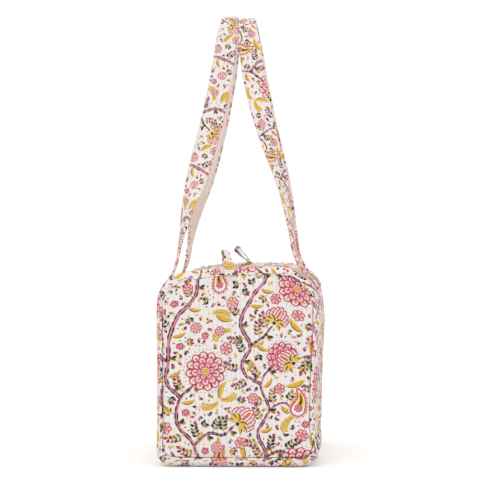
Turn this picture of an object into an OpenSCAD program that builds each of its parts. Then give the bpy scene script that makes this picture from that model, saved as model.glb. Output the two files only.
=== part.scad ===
// Quilted knitting bag with a zip top and two long strap handles.
// Millimetres. X runs across the bag, Y along it (the front end is at -Y), Z up. The floor is z = 0.

/* [Bag] */
// Width across the end, side panel to side panel
bag_w = 204; // [184:1:240]
// Length from end to end
bag_l = 380; // [340:1:440]
// Height of the body without its handles
bag_h = 250; // [220:1:290]
// Thickness of the quilted cotton
quilt_t = 4; // [3.5:0.5:4.5]
// Radius of the lower corners, seen from the end
foot_r = 16; // [15:1:22]
// Radius of the shoulders, seen from the end
shoulder_r = 40; // [36:1:44]
// Radius of the puffed rim beside each end panel
rim_r = 8; // [7:0.5:9]
// Thickness of the piping at the end seams
piping_d = 3; // [2:0.25:3.5]

/* [Top and zip] */
// Length of the fixed part of the top at each end
fixed_l = 38; // [37:1:48]
// Gap between the two top strips, over the zip teeth
zip_gap = 11; // [11:0.5:14]
// Reach of each zip tape from the middle of the zip
tape_w = 16; // [13:0.5:20]
// Spacing of the zip teeth
tooth_pitch = 3; // [2.5:0.5:4]
// Length of the pull on the zip slider
pull_l = 15; // [13:0.5:15]

/* [Handles] */
// Width of the strap
strap_w = 29; // [26:0.5:32]
// Width of the strap at the top, where its edges curl in
crest_w = 22; // [18:0.5:24]
// Thickness of the strap
strap_t = 4; // [3:0.25:4]
// Height of the handles above the floor
crest_z = 577; // [520:1:640]
// Distance between the two feet of a handle
feet_gap = 216; // [190:1:230]
// Radius of the bend at the top of a handle
crest_r = 40; // [30:1:60]
// Place of the middle of the handle tops, to the right of the middle of the bag
crest_mid = -6.5; // [-8:0.5:8]
// Place of the left handle's feet round the shoulder, in degrees from level
left_foot_angle = 60; // [56:1:76]
// Place of the right handle's feet round the shoulder, in degrees from level
right_foot_angle = 76; // [56:1:76]
// Length of the turn in the left strap, as a share of half its length
left_twist = 0.46; // [0.25:0.01:0.8]
// Length of the turn in the right strap, as a share of half its length
right_twist = 0.74; // [0.25:0.01:0.8]

/* [Loop tabs] */
// Width of the band of a loop tab
tab_w = 12; // [9:0.5:14]
// Height of a loop tab
tab_h = 28; // [22:1:34]
// Place of the front tab beside the middle
front_tab_x = -12; // [-18:0.5:-10]
// Lean of the rear tab to the left, in degrees
rear_tab_lean = 38; // [10:1:45]

/* [Inside] */
// Thickness of the lining
lining_t = 1.2; // [0.8:0.1:1.4]
// Height of the slip pocket
pocket_h = 120; // [80:1:130]
// Length of the slip pocket
pocket_l = 280; // [180:1:300]

/* [Hidden] */

$fn = 96;
gap = 0.4;
half_l = bag_l / 2;
half_w = bag_w / 2;
// Half the width of the flat top between the shoulders
top_half = half_w - shoulder_r;
// Height of the middle of the shoulder
shoulder_z = bag_h - shoulder_r;
// Underside of the top strips, where the zip tape is sewn
under_z = bag_h - quilt_t;
// Half the length of the part of the top that opens
mouth_half = half_l - fixed_l;
// The line that each top strip folds about
fold_x = top_half - quilt_t / 2 - gap;
fold_z = bag_h - quilt_t / 2;
// How far in from the outline the end panel starts
end_inset = rim_r + piping_d + 0.2;
// Half the width of the gap between the two rows of teeth
teeth_x = 0.7;
teeth_back_x = 3.4;
// Rest place of the slider, parked on the fixed rear end
slider_y = half_l - 20;
// Sewn foot of a strap, and the line that the free strap folds about
foot_t = 1.6;
foot_axis_r = shoulder_r + 0.15 + foot_t + 0.5 + strap_t / 2;
crest_x = crest_w / 2 + 0.3;
crest_drop = 2.5;
strap_rings = 96;

print = "#efe6e0";
print_shade = "#e6d6cf";
cord_cloth = "#c98b86";
lining_cloth = "#ecd3cb";
tape_cloth = "#d9c9b8";
brass = "#b99a55";

function arc(cx, cy, r, from, to, n) =
    [for (i = [0:n]) let (a = from + (to - from) * i / n) [cx + r * cos(a), cy + r * sin(a)]];
function clamp(v) = max(0, min(1, v));
function smooth(v) = v * v * (3 - 2 * v);
function unit(v) = v / norm(v);

// Outline of the bag's cross section, set in from the outside by an inset
function outline(inset) = let (
        w = half_w - inset,
        low = max(foot_r - inset, 1),
        high = max(shoulder_r - inset, 1),
        bottom = inset,
        top = bag_h - inset
    ) concat(
        arc(w - low, bottom + low, low, -90, 0, 10),
        arc(w - high, top - high, high, 0, 90, 16),
        arc(high - w, top - high, high, 90, 180, 16),
        arc(low - w, bottom + low, low, 180, 270, 10));

// Lays a shape drawn across XY with its length along Z down along Y
module lay() {
    rotate([90, 0, 0]) children();
}

// Straight part of a wall, from a point, facing an angle
module wall_run(p, angle, length) {
    translate([p.x, p.y, 0])
        rotate([0, 0, angle])
            rotate([90, 0, 0])
                linear_extrude(length) children();
}

// Rounded part of a wall, about a centre
module wall_turn(c, r, from, to) {
    translate([c.x, c.y, 0])
        rotate([0, 0, from])
            rotate_extrude(angle = to - from)
                translate([r, 0]) children();
}

// Quilted wall seen along its run, with the puffed rim at both ends
module wall_profile() {
    polygon(concat(
        arc(-rim_r, half_l - rim_r, rim_r, 0, 90, 8),
        arc(-rim_r, half_l - rim_r, rim_r - quilt_t, 90, 0, 6),
        arc(-rim_r, rim_r - half_l, rim_r - quilt_t, 0, -90, 6),
        arc(-rim_r, rim_r - half_l, rim_r, -90, 0, 8)));
}

// The same wall from the mouth to the rim at one end
module wall_end_profile() {
    polygon(concat(
        [[-quilt_t, mouth_half], [0, mouth_half]],
        arc(-rim_r, half_l - rim_r, rim_r, 0, 90, 8),
        arc(-rim_r, half_l - rim_r, rim_r - quilt_t, 90, 0, 6)));
}

module lining_profile() {
    depth = quilt_t + 0.3 + lining_t;
    span = half_l - rim_r - 1;
    translate([-depth, -span]) square([lining_t, 2 * span]);
}

module right_side_wall() {
    wall_run([half_w, shoulder_z], 0, shoulder_z - foot_r) children();
    wall_turn([top_half, shoulder_z], shoulder_r, 0, 90) children();
}

module base_wall() {
    wall_run([half_w - foot_r, 0], -90, bag_w - 2 * foot_r) children();
    wall_turn([half_w - foot_r, foot_r], foot_r, -90, 0) children();
    wall_turn([foot_r - half_w, foot_r], foot_r, 180, 270) children();
}

module front_end_panel() {
    color(print)
        translate([0, quilt_t + 0.5 - half_l, 0])
            lay() linear_extrude(quilt_t) polygon(outline(end_inset));
}

module rear_end_panel() {
    mirror([0, 1, 0]) front_end_panel();
}

module right_side_panel() {
    color(print) lay() right_side_wall() wall_profile();
}

module left_side_panel() {
    mirror([1, 0, 0]) right_side_panel();
}

module base_panel() {
    color(print_shade) lay() base_wall() wall_profile();
}

// Fixed end of the top, slotted for the tail of the zip
module front_top_end() {
    slot_l = fixed_l - rim_r;
    color(print) difference() {
        lay() wall_run([-top_half, bag_h], 90, 2 * top_half) wall_end_profile();
        translate([-zip_gap / 2, -mouth_half - slot_l, under_z - 10])
            cube([zip_gap, slot_l + 5, 30]);
    }
}

module rear_top_end() {
    mirror([0, 1, 0]) front_top_end();
}

module front_piping() {
    inset = rim_r + piping_d / 2 + 0.1;
    w = half_w - inset;
    low = foot_r - inset;
    high = shoulder_r - inset;
    color(cord_cloth)
        translate([0, 1 - half_l, 0]) lay() {
            wall_run([w, bag_h - inset - high], 0, bag_h - 2 * inset - high - low) piping_cord();
            wall_run([-w, inset + low], 180, bag_h - 2 * inset - high - low) piping_cord();
            wall_run([w - low, inset], -90, 2 * (w - low)) piping_cord();
            wall_run([high - w, bag_h - inset], 90, 2 * (w - high)) piping_cord();
            wall_turn([w - low, inset + low], low, -90, 0) piping_cord();
            wall_turn([low - w, inset + low], low, 180, 270) piping_cord();
            wall_turn([w - high, bag_h - inset - high], high, 0, 90) piping_cord();
            wall_turn([high - w, bag_h - inset - high], high, 90, 180) piping_cord();
        }
}

module piping_cord() {
    circle(d = piping_d, $fn = 12);
}

module rear_piping() {
    mirror([0, 1, 0]) front_piping();
}

// Top strip beside the zip, with a round edge on its fold line
module right_top_strip() {
    color(print) {
        translate([zip_gap / 2, gap - mouth_half, under_z])
            cube([fold_x - zip_gap / 2, 2 * (mouth_half - gap), quilt_t]);
        translate([fold_x, 0, fold_z])
            rotate([90, 0, 0]) cylinder(h = 2 * (mouth_half - gap), d = quilt_t, center = true);
    }
}

module left_top_strip() {
    mirror([1, 0, 0]) right_top_strip();
}

module right_strip_lining() {
    color(lining_cloth)
        translate([tape_w + 0.5, gap - mouth_half, under_z - 0.3 - lining_t])
            cube([fold_x - tape_w - 4, 2 * (mouth_half - gap), lining_t]);
}

module left_strip_lining() {
    mirror([1, 0, 0]) right_strip_lining();
}

module right_zip_tape() {
    color(tape_cloth)
        translate([1.2, gap - mouth_half, under_z - 0.9])
            cube([tape_w - 1.2, 2 * (mouth_half - gap), 0.8]);
}

module left_zip_tape() {
    mirror([1, 0, 0]) right_zip_tape();
}

// Row of teeth between two places along the zip
module teeth_row(from, to) {
    count = floor((to - from) / tooth_pitch);
    start = (from + to - count * tooth_pitch) / 2;
    root = teeth_back_x - 1.4;
    points = concat(
        [[teeth_back_x, to], [teeth_back_x, from], [root, from]],
        [for (i = [0:count - 1], k = [0:3])
            [k == 0 || k == 3 ? root : teeth_x,
             start + (i + (k < 2 ? 0.25 : 0.75)) * tooth_pitch]],
        [[root, to]]);
    translate([0, 0, under_z - 0.1]) linear_extrude(2.3) polygon(points);
}

module right_zip_teeth() {
    color(tape_cloth) teeth_row(gap - mouth_half, mouth_half - gap);
}

module left_zip_teeth() {
    mirror([1, 0, 0]) right_zip_teeth();
}

// Parts of the zip sewn under the fixed ends of the top
module zip_tail_tapes() {
    color(tape_cloth)
        for (sx = [0, 1], sy = [0, 1])
            mirror([sx, 0, 0]) mirror([0, sy, 0])
                translate([1.2, mouth_half, under_z - 0.9])
                    cube([tape_w - 1.2, fixed_l - rim_r, 0.8]);
}

module zip_tail_teeth() {
    color(tape_cloth)
        for (sx = [0, 1], sy = [0, 1])
            mirror([sx, 0, 0]) mirror([0, sy, 0])
                teeth_row(mouth_half, half_l - rim_r - 3);
}

module zip_stops() {
    color(brass)
        for (sy = [0, 1])
            mirror([0, sy, 0])
                translate([-2.6, half_l - rim_r - 2.6, under_z - 0.1]) cube([5.2, 2.2, 2.3]);
}

// Slider with an upper and a lower plate, a post between them and a bail for the pull
module zip_slider() {
    plate = concat(
        arc(-2.7, 5, 2, 90, 180, 6),
        arc(-2.4, -5, 2, 180, 270, 6),
        arc(2.4, -5, 2, 270, 360, 6),
        arc(2.7, 5, 2, 0, 90, 6));
    color(brass) translate([0, slider_y, under_z]) {
        translate([0, 0, 2.6]) linear_extrude(1.6) polygon(plate);
        translate([0, 0, -2.6]) linear_extrude(1.4) polygon(plate);
        translate([-0.4, 1, -1.3]) cube([0.8, 4, 4]);
        for (sx = [0, 1])
            mirror([sx, 0, 0]) translate([3.7, -4.5, 0.4]) cube([0.7, 9, 2.3]);
        translate([-1, 0, 5.2]) rotate([90, 0, 90]) linear_extrude(2) difference() {
            circle(r = 2);
            circle(r = 1);
            translate([-3, -4.2]) square([6, 3]);
        }
    }
}

module zip_pull() {
    color(brass) translate([0, slider_y, under_z + 5.2]) {
        rotate([0, 90, 0]) cylinder(h = 5.2, r = 0.75, center = true);
        translate([0, 0, -0.6]) linear_extrude(1.2) difference() {
            polygon(concat(
                [[-2.6, 0], [2.6, 0]],
                arc(1.1, pull_l - 1.5, 1.5, 0, 90, 6),
                arc(-1.1, pull_l - 1.5, 1.5, 90, 180, 6)));
            translate([-1.4, 0.2]) square([2.8, 7.8]);
            translate([0, pull_l - 4.5]) circle(r = 1.5);
        }
    }
}

// Route of a strap from its front foot (u = -1) over the top to its rear foot (u = 1): straight legs
// that lean together up to a round bend, with the right bend a little lower than the left one
function foot_angle(side) = side < 0 ? left_foot_angle : right_foot_angle;
function foot_x(side) = side * (top_half + foot_axis_r * cos(foot_angle(side)));
function foot_z(side) = shoulder_z + foot_axis_r * sin(foot_angle(side));
function top_x(side) = crest_mid + side * crest_x;
function bend_z(side) = crest_z - crest_r - (side < 0 ? 0 : crest_drop);
function foot_from_bend(side) = [feet_gap / 2, bend_z(side) - foot_z(side)];
function leg_tilt(side) = let (d = foot_from_bend(side)) acos(crest_r / norm(d)) - atan2(d.y, d.x);
function leg_len(side) = let (d = foot_from_bend(side)) sqrt(d * d - crest_r * crest_r);
function bend_len(side) = crest_r * (90 - leg_tilt(side)) * PI / 180;
function strap_lean(s, ease) = 1 - pow(1 - s * s * (1 + ease) / (s + ease), 1.8);
function strap_at(u, side) = let (
        c = abs(u) * (bend_len(side) + leg_len(side)),
        tilt = leg_tilt(side),
        a = min(90 - tilt, c / crest_r * 180 / PI),
        k = max(0, c - bend_len(side)),
        y = crest_r * sin(a) + k * sin(tilt),
        z = bend_z(side) + crest_r * cos(a) - k * cos(tilt),
        g = strap_lean(max(0, 1 - abs(u)), side < 0 ? 0.22 : 0.39)
    ) [foot_x(side) + (top_x(side) - foot_x(side)) * g, u < 0 ? -y : y, z];
function strap_dir(u, side) = unit(strap_at(u + 0.002, side) - strap_at(u - 0.002, side));
// The strap is edge on to the end of the bag at its feet and turns flat to it higher up
function strap_turn(u, side) = smooth(clamp((0.95 - abs(u)) / (side < 0 ? left_twist : right_twist)));
function strap_across(u, side) = let (
        t = strap_dir(u, side),
        a = 90 * strap_turn(u, side),
        w = [sin(a), (u < 0 ? side : -side) * cos(a), 0]
    ) unit(w - strap_turn(u, side) * (w * t) * t);
function strap_ring(u, side) = let (
        w = strap_across(u, side),
        n = unit(cross(strap_dir(u, side), w)),
        a = (crest_w + (strap_w - crest_w) * smooth(clamp(abs(u) / 0.22))) / 2,
        b = strap_t / 2,
        c = strap_t / 5
    ) [for (k = [[a, b - c], [a - c, b], [c - a, b], [-a, b - c],
                 [-a, c - b], [c - a, -b], [a - c, -b], [a, c - b]])
        strap_at(u, side) + w * k.x + n * k.y];

module strap(side) {
    rings = [for (i = [0:strap_rings]) strap_ring(2 * i / strap_rings - 1, side)];
    points = [for (r = rings, p = r) p];
    walls = [for (i = [0:strap_rings - 1], k = [0:7]) let (
            a = 8 * i + k,
            b = 8 * i + (k + 1) % 8)
        each [[b, a, b + 8], [b + 8, a, a + 8]]];
    ends = [[for (k = [0:7]) k], [for (k = [7:-1:0]) 8 * strap_rings + k]];
    polyhedron(points, concat(walls, ends));
    for (s = [-1, 1])
        translate([foot_x(side), s * feet_gap / 2, foot_z(side)])
            rotate([90, 0, 0]) cylinder(h = strap_w - 1, d = strap_t - 0.3, center = true);
}

module left_handle() {
    color(print) strap(-1);
}

module right_handle() {
    color(print) strap(1);
}

// Ends of a strap, sewn flat over the shoulder
module handle_feet(angle) {
    color(print_shade) lay()
        for (s = [-1, 1])
            wall_turn([top_half, shoulder_z], shoulder_r, angle - 52, angle + 4)
                translate([0.15, s * feet_gap / 2 - strap_w / 2]) square([foot_t, strap_w]);
}

module right_handle_feet() {
    handle_feet(right_foot_angle);
}

module left_handle_feet() {
    mirror([1, 0, 0]) handle_feet(left_foot_angle);
}

// Folded band seen from its side, open in the middle
module tab_profile() {
    top = tab_h - 3.5;
    difference() {
        polygon(concat([[-1.5, 0], [1.5, 0], [3.5, 12]], arc(0, top, 3.5, 0, 180, 16), [[-3.5, 12]]));
        polygon(concat([[0, 5], [1.9, 13]], arc(0, top, 1.9, 0, 180, 12), [[-1.9, 13]]));
    }
}

module front_tab() {
    color(print)
        translate([front_tab_x - tab_w / 2, -half_l - 2, bag_h - rim_r + 0.6])
            rotate([90, 0, 90]) linear_extrude(tab_w) tab_profile();
}

module rear_tab() {
    color(print)
        translate([0, half_l + 8, bag_h + 1.6])
            rotate([0, -rear_tab_lean, 0])
                rotate([90, 0, 0]) linear_extrude(tab_w) tab_profile();
}

module right_lining() {
    color(lining_cloth) lay() right_side_wall() lining_profile();
}

module left_lining() {
    mirror([1, 0, 0]) right_lining();
}

module base_lining() {
    color(lining_cloth) lay() base_wall() lining_profile();
}

module front_end_lining() {
    color(lining_cloth)
        translate([0, quilt_t + 0.8 + lining_t - half_l, 0])
            lay() linear_extrude(lining_t) polygon(outline(end_inset + 1));
}

module rear_end_lining() {
    mirror([0, 1, 0]) front_end_lining();
}

module slip_pocket() {
    color(lining_cloth)
        translate([quilt_t + lining_t + 0.5 - half_w, -pocket_l / 2, 60])
            cube([lining_t, pocket_l, pocket_h]);
}

module pocket_binding() {
    color(cord_cloth)
        translate([quilt_t + lining_t + 0.5 - half_w, -pocket_l / 2, 60 + pocket_h])
            cube([lining_t + 0.8, pocket_l, 8]);
}

front_end_panel();
rear_end_panel();
left_side_panel();
right_side_panel();
base_panel();
front_top_end();
rear_top_end();
front_piping();
rear_piping();
left_top_strip();
right_top_strip();
left_strip_lining();
right_strip_lining();
left_zip_tape();
right_zip_tape();
left_zip_teeth();
right_zip_teeth();
zip_tail_tapes();
zip_tail_teeth();
zip_stops();
zip_slider();
zip_pull();
left_handle();
right_handle();
left_handle_feet();
right_handle_feet();
front_tab();
rear_tab();
left_lining();
right_lining();
base_lining();
front_end_lining();
rear_end_lining();
slip_pocket();
pocket_binding();
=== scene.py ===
import math

import bpy
import numpy as np
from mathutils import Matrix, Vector


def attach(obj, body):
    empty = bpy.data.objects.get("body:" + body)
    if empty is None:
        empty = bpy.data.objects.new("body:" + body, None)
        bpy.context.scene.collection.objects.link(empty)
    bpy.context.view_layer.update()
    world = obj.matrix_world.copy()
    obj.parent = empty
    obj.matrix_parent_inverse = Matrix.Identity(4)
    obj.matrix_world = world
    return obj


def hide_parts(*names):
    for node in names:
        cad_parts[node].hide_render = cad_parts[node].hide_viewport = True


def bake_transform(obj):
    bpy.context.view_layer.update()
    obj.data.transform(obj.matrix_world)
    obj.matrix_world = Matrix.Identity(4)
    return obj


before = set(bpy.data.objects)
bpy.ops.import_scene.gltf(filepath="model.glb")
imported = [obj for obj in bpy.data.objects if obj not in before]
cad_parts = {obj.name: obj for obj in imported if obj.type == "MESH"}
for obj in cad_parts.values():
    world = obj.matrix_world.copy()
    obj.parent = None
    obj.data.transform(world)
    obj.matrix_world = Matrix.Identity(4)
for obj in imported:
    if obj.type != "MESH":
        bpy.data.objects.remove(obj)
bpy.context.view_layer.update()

scene = bpy.context.scene

# Driving sizes in millimetres, as in the part's source: the bag, its round edges, its cloth, piping and top,
# the straps with their sewn feet, and the tops of the straps
HALF_W, HIGH, HALF_L = 102.0, 250.0, 190.0
SHOULDER, FOOT, RIM = 40.0, 16.0, 8.0
QUILT_T, PIPING_D, FIXED_L, ZIP_GAP, TAPE_W, GAP = 4.0, 3.0, 38.0, 11.0, 16.0, 0.4
STRAP_W, STRAP_T, FEET_GAP, FOOT_T = 29.0, 4.0, 216.0, 1.6
CREST_W, CREST_Z, CREST_R, CREST_DROP, CREST_MID = 22.0, 577.0, 40.0, 2.5, -6.5
# Worked out from them: the flat top and its opening, the middle of the shoulders, the underside of the top,
# the line that a strip folds about, the edge of an end panel, and where a strap folds over the shoulder
TOP_HALF, MOUTH = HALF_W - SHOULDER, HALF_L - FIXED_L
SHOULDER_Z, UNDER_Z = HIGH - SHOULDER, HIGH - QUILT_T
FOLD_X = TOP_HALF - QUILT_T / 2 - GAP
INSET = RIM + PIPING_D + 0.2
FOOT_AXIS_R = SHOULDER + 0.15 + FOOT_T + 0.5 + STRAP_T / 2
# Degrees up the round of the shoulder where a strap is sewn, the share of its leg that twists, and its lean
FOOT_ANGLE = {-1: 60.0, 1: 76.0}
TWIST = {-1: 0.41, 1: 0.74}
EASE = {-1: 0.22, 1: 0.39}
# How far a strap is drawn in low down, and the share of its quarter turn that is left at the foot
PULL_IN, LOW_TURN = 2.3, 0.06
# Width of a quilted channel
QUILT = 5.75

MM = 0.001
SIDES = ((-1, "left"), (1, "right"))
ENDS = ((-1, "front"), (1, "rear"))
UP = np.array([0, 0, 1.0])

# Camera at the photo's place
lens = bpy.data.cameras.new("camera")
lens.sensor_width, lens.lens = 36.0, 195.0
lens.clip_end = 200.0
camera = bpy.data.objects.new("camera", lens)
camera.location = (0.1441, -3.4448, 0.3078)
camera.rotation_euler = (math.radians(90 - 0.41), 0, math.radians(2.48))
scene.collection.objects.link(camera)
scene.camera = camera


def smooth(t):
    t = np.clip(t, 0, 1)
    return t * t * (3 - 2 * t)


def unit(v):
    return v / np.maximum(np.linalg.norm(v, axis=-1, keepdims=True), 1e-9)


def lattice(ix, iy, seed):
    """Random values between -1 and 1 at whole numbers."""
    h = (ix.astype(np.int64) * 374761393 + iy.astype(np.int64) * 668265263 + seed * 97471) & 0xFFFFFFFF
    h = ((h ^ (h >> 13)) * 1274126177) & 0xFFFFFFFF
    return ((h ^ (h >> 16)) & 0xFFFF) / 32767.5 - 1


def noise(x, y, seed):
    """Smooth noise between -1 and 1 with a cell of one unit."""
    ix, iy = np.floor(x), np.floor(y)
    tx, ty = smooth(x - ix), smooth(y - iy)
    a, b = lattice(ix, iy, seed), lattice(ix + 1, iy, seed)
    c, d = lattice(ix, iy + 1, seed), lattice(ix + 1, iy + 1, seed)
    return (a * (1 - tx) + b * tx) * (1 - ty) + (c * (1 - tx) + d * tx) * ty


def run_along(pts):
    """Length along a line, at each of its points."""
    return np.concatenate([[0], np.cumsum(np.linalg.norm(np.diff(pts, axis=0), axis=1))])


def sample(at, run, values):
    """Rows of values at some lengths along a line."""
    return np.stack([np.interp(at, run, column) for column in values.T], -1)


def round_over(d, reach):
    """1 at an edge, falling as a quarter circle to 0 at a distance from it."""
    return 1 - np.sqrt(np.clip(1 - (1 - np.clip(d / reach, 0, 1)) ** 2, 0, 1))


def vec(x, y, z):
    """Points or directions from their three parts, which may be plain numbers."""
    return np.stack(np.broadcast_arrays(x, y, z), -1)


def spread(first, second):
    """Two grids of values, from the start, the end and the count of each."""
    return np.meshgrid(np.linspace(*first), np.linspace(*second))


def angles(n):
    """Equal steps round a circle."""
    return np.linspace(0, 2 * np.pi, n, endpoint=False)


# Block print: inks drawn as distance fields in millimetres on a tile that repeats
TILE_W, TILE_H, STEP = 188.0, 224.0, 0.3
NX, NY = int(round(TILE_W / STEP)), int(round(TILE_H / STEP))
INKS = {"stem": "DA8AA2", "pink": "F2A0B2", "rose": "CB2A52", "mustard": "EDBE33", "ochre": "9C7014",
        "orange": "E8772C", "mauve": "D08AA8", "olive": "463A0C", "dark": "2A140C"}
INK_SETS = {"ink_a": ("stem", "pink", "rose"), "ink_b": ("mustard", "ochre", "orange"),
            "ink_c": ("mauve", "olive", "dark")}
# Distance that the fields start from and reach, the reach of a wipe, and the distance kept for bare cloth
FAR, WIPE_REACH, BARE = 8.0, 2.5, 3.0
ink = {k: np.full((NY, NX), FAR) for k in INKS}
dice = np.random.default_rng(23)


def trail(pts, radii, reach):
    """The part of the tile round a line of dabs of changing radius, and the distance to them there."""
    pts = np.atleast_2d(np.asarray(pts, float))
    pts = pts if len(pts) > 1 else pts.repeat(2, 0)
    radii = np.broadcast_to(np.asarray(radii, float), len(pts))
    reach = max(radii) + reach
    low = np.floor((pts.min(0) - reach) / STEP).astype(int)
    high = np.ceil((pts.max(0) + reach) / STEP).astype(int)
    columns = np.arange(low[0], high[0] + 1)[:NX]
    rows = np.arange(low[1], high[1] + 1)[:NY]
    x, y = np.meshgrid(columns * STEP, rows * STEP)
    best = np.full(x.shape, 99.0)
    for (ax, ay), (bx, by), ra, rb in zip(pts[:-1], pts[1:], radii[:-1], radii[1:]):
        ux, uy = bx - ax, by - ay
        t = np.clip(((x - ax) * ux + (y - ay) * uy) / (ux * ux + uy * uy + 1e-9), 0, 1)
        best = np.minimum(best, np.hypot(x - ax - ux * t, y - ay - uy * t) - ra - (rb - ra) * t)
    return np.ix_(rows % NY, columns % NX), best


def dab(name, pts, radii, line=None):
    """Prints a trail, or only its outline of that width."""
    at, d = trail(pts, radii, FAR)
    d = np.abs(d) - line / 2 if line else d
    ink[name][at] = np.minimum(ink[name][at], d)


def wipe(pts, radii):
    """Clears the cloth under a motif, as one block covers another."""
    at, d = trail(pts, radii, WIPE_REACH)
    for field in ink.values():
        field[at] = np.maximum(field[at], -d)


def stamp(name, pts, radii, margin=0.5):
    """Prints a trail on cloth cleared a little wider."""
    wipe(pts, radii + margin)
    dab(name, pts, radii)


def turn(pts, at, angle, size=1.0):
    a = math.radians(angle)
    p = np.asarray(pts, float) * size
    return np.stack([at[0] + p[:, 0] * math.cos(a) - p[:, 1] * math.sin(a),
                     at[1] + p[:, 0] * math.sin(a) + p[:, 1] * math.cos(a)], 1)


def polar(at, angle, r):
    return (at[0] + r * math.cos(math.radians(angle)), at[1] + r * math.sin(math.radians(angle)))


def ray(at, angle, r0, r1):
    """Two points on a line away from a place."""
    return [polar(at, angle, r0), polar(at, angle, r1)]


def bow(length, bend, n):
    """Points of a bent line that starts at the origin and runs along X."""
    t = np.linspace(0, 1, n)
    return np.stack([length * t, bend * 4 * t * (1 - t)], 1)


def swell(n, width, peak, tip=0.05):
    """Radii that grow to half a width and shrink again."""
    t = np.linspace(0, 1, n)
    s = np.where(t < peak, t / peak, (1 - t) / (1 - peak))
    return np.maximum(width / 2 * np.sin(np.pi / 2 * s) ** 0.8, tip)


def smooth_line(points, n=14):
    """A rounded line through some points."""
    p = np.asarray(points, float)
    q = np.concatenate([2 * p[:1] - p[1:2], p, 2 * p[-1:] - p[-2:-1]])
    t = np.linspace(0, 1, n, endpoint=False)[:, None]
    out = [0.5 * (2 * b + (c - a) * t + (2 * a - 5 * b + 4 * c - d) * t**2 + (3 * b - a - 3 * c + d) * t**3)
           for a, b, c, d in zip(q[:-3], q[1:-2], q[2:-1], q[3:])]
    return np.concatenate(out + [p[-1:]])


def steps_and_left(pts):
    """The steps along a line, and the unit directions to its left."""
    step = np.gradient(pts, axis=0)
    return step, np.stack([-step[:, 1], step[:, 0]], 1) / np.linalg.norm(step, axis=1)[:, None]


def vine(points, r0, r1):
    """A tapering stem with broken dark edges and a rose shade along one side."""
    pts = smooth_line(points)
    r = np.linspace(r0, r1, len(pts))
    step, left = steps_and_left(pts)
    wipe(pts[3:-3], r[3:-3] + 0.6)
    dab("stem", pts, r)
    dab("rose", pts - left * (0.4 * r)[:, None], 0.16 * r)
    for sign, keep in ((1, 0.8), (-1, 0.7)):
        edge = pts + left * (r * sign)[:, None]
        for i in range(0, len(pts) - 4, 4):
            if dice.random() < keep:
                dab("dark", edge[i:i + 5], [0.35, 0.75, 0.9, 0.75, 0.35])
    return pts, step


def leaf(name, at, angle, length, width, bend, edge="dark"):
    """A pointed leaf with a dark line along one side."""
    stamp(name, turn(bow(length, bend, 5), at, angle), swell(5, width, 0.42), 0.35)
    if edge:
        dab(edge, turn(bow(length, bend + 0.36 * width, 5), at, angle), [0.25, 0.65, 0.8, 0.6, 0.25])


def blade(at, angle, size, bend):
    """A long mustard leaf with ochre cross veins and an olive back."""
    mid = turn(bow(25, bend, 11), at, angle, size)
    stamp("mustard", mid, swell(11, 7.0 * size, 0.42))
    back = turn(bow(25, bend + np.sign(bend) * 2.7, 11), at, angle, size)
    dab("olive", back[1:-1], [0.2, 0.45, 0.55, 0.6, 0.6, 0.55, 0.5, 0.4, 0.2])
    for i in range(1, 10):
        dab("ochre", [mid[i], polar(mid[i], angle + 40, 2.0 * size * (1 - i / 13))], 0.34 * size)


def fern(at, angle, size, bend):
    """A mustard frond with paired leaflets."""
    rib = turn(bow(24, bend, 9), at, angle, size)
    dab("ochre", rib, 0.5 * size)
    for i in range(1, 9):
        for s in (-1, 1):
            part = turn(bow(8.0 - 0.55 * i, s * 0.7, 5), rib[i], angle + s * (58 - 4 * i), size)
            dab("mustard", part, swell(5, 3.0 * size, 0.55, 0.3))
            if i % 2:
                dab("dark", part[1:4], 0.24)


def bud(at, angle, size):
    """A rose bud in a dark cup."""
    wipe([at], 2.6 * size)
    dab("rose", [at, polar(at, angle, 2.0 * size)], [2.2 * size, 1.0 * size])
    dab("pink", [polar(at, angle + 60, 0.7 * size)], 0.9 * size)
    for s in (-60, 0, 60):
        dab("dark", ray(at, angle + 180 + s, 1.9 * size, 3.2 * size), [0.55, 0.2])


def twig(at, angle, n, tones, size, bend, tip=True):
    """A thin twig with paired small leaves and a bud at its end."""
    rib = turn(bow(6.0 * n, bend, n + 2), at, angle, size)
    dab("dark", rib, 0.4)
    for i in range(1, n + 1):
        for s in (1, -1):
            name = tones[(i + (s > 0)) % len(tones)] if (i + s) % 4 else "mustard"
            root, way = polar(rib[i], angle + s * 60, 0.6), angle + s * (58 - 4 * i)
            leaf(name, root, way, (6.8 - 0.3 * i) * size, 3.7 * size, 0.6 * s)
    if tip:
        bud(rib[-1], angle - 8 * bend, size)


def floret(at, r, petals, spin, heart="orange"):
    """A small open flower: outlined petals round a coloured eye."""
    for i in range(petals):
        a = spin + 360 * i / petals
        petal = ray(at, a, 0.36 * r, 0.66 * r)
        wipe(petal, [0.2 * r + 0.4, 0.34 * r + 0.4])
        dab("rose", petal, [0.16 * r, 0.31 * r], 1.3)
        dab("pink", petal, [0.04 * r, 0.13 * r])
        dab("dark", ray(at, a + 180 / petals, 0.62 * r, 0.9 * r), [0.65, 0.3])
    wipe([at], 0.3 * r)
    dab(heart, [at], 0.25 * r)
    dab("rose", [at], 0.32 * r, 0.8)


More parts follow.
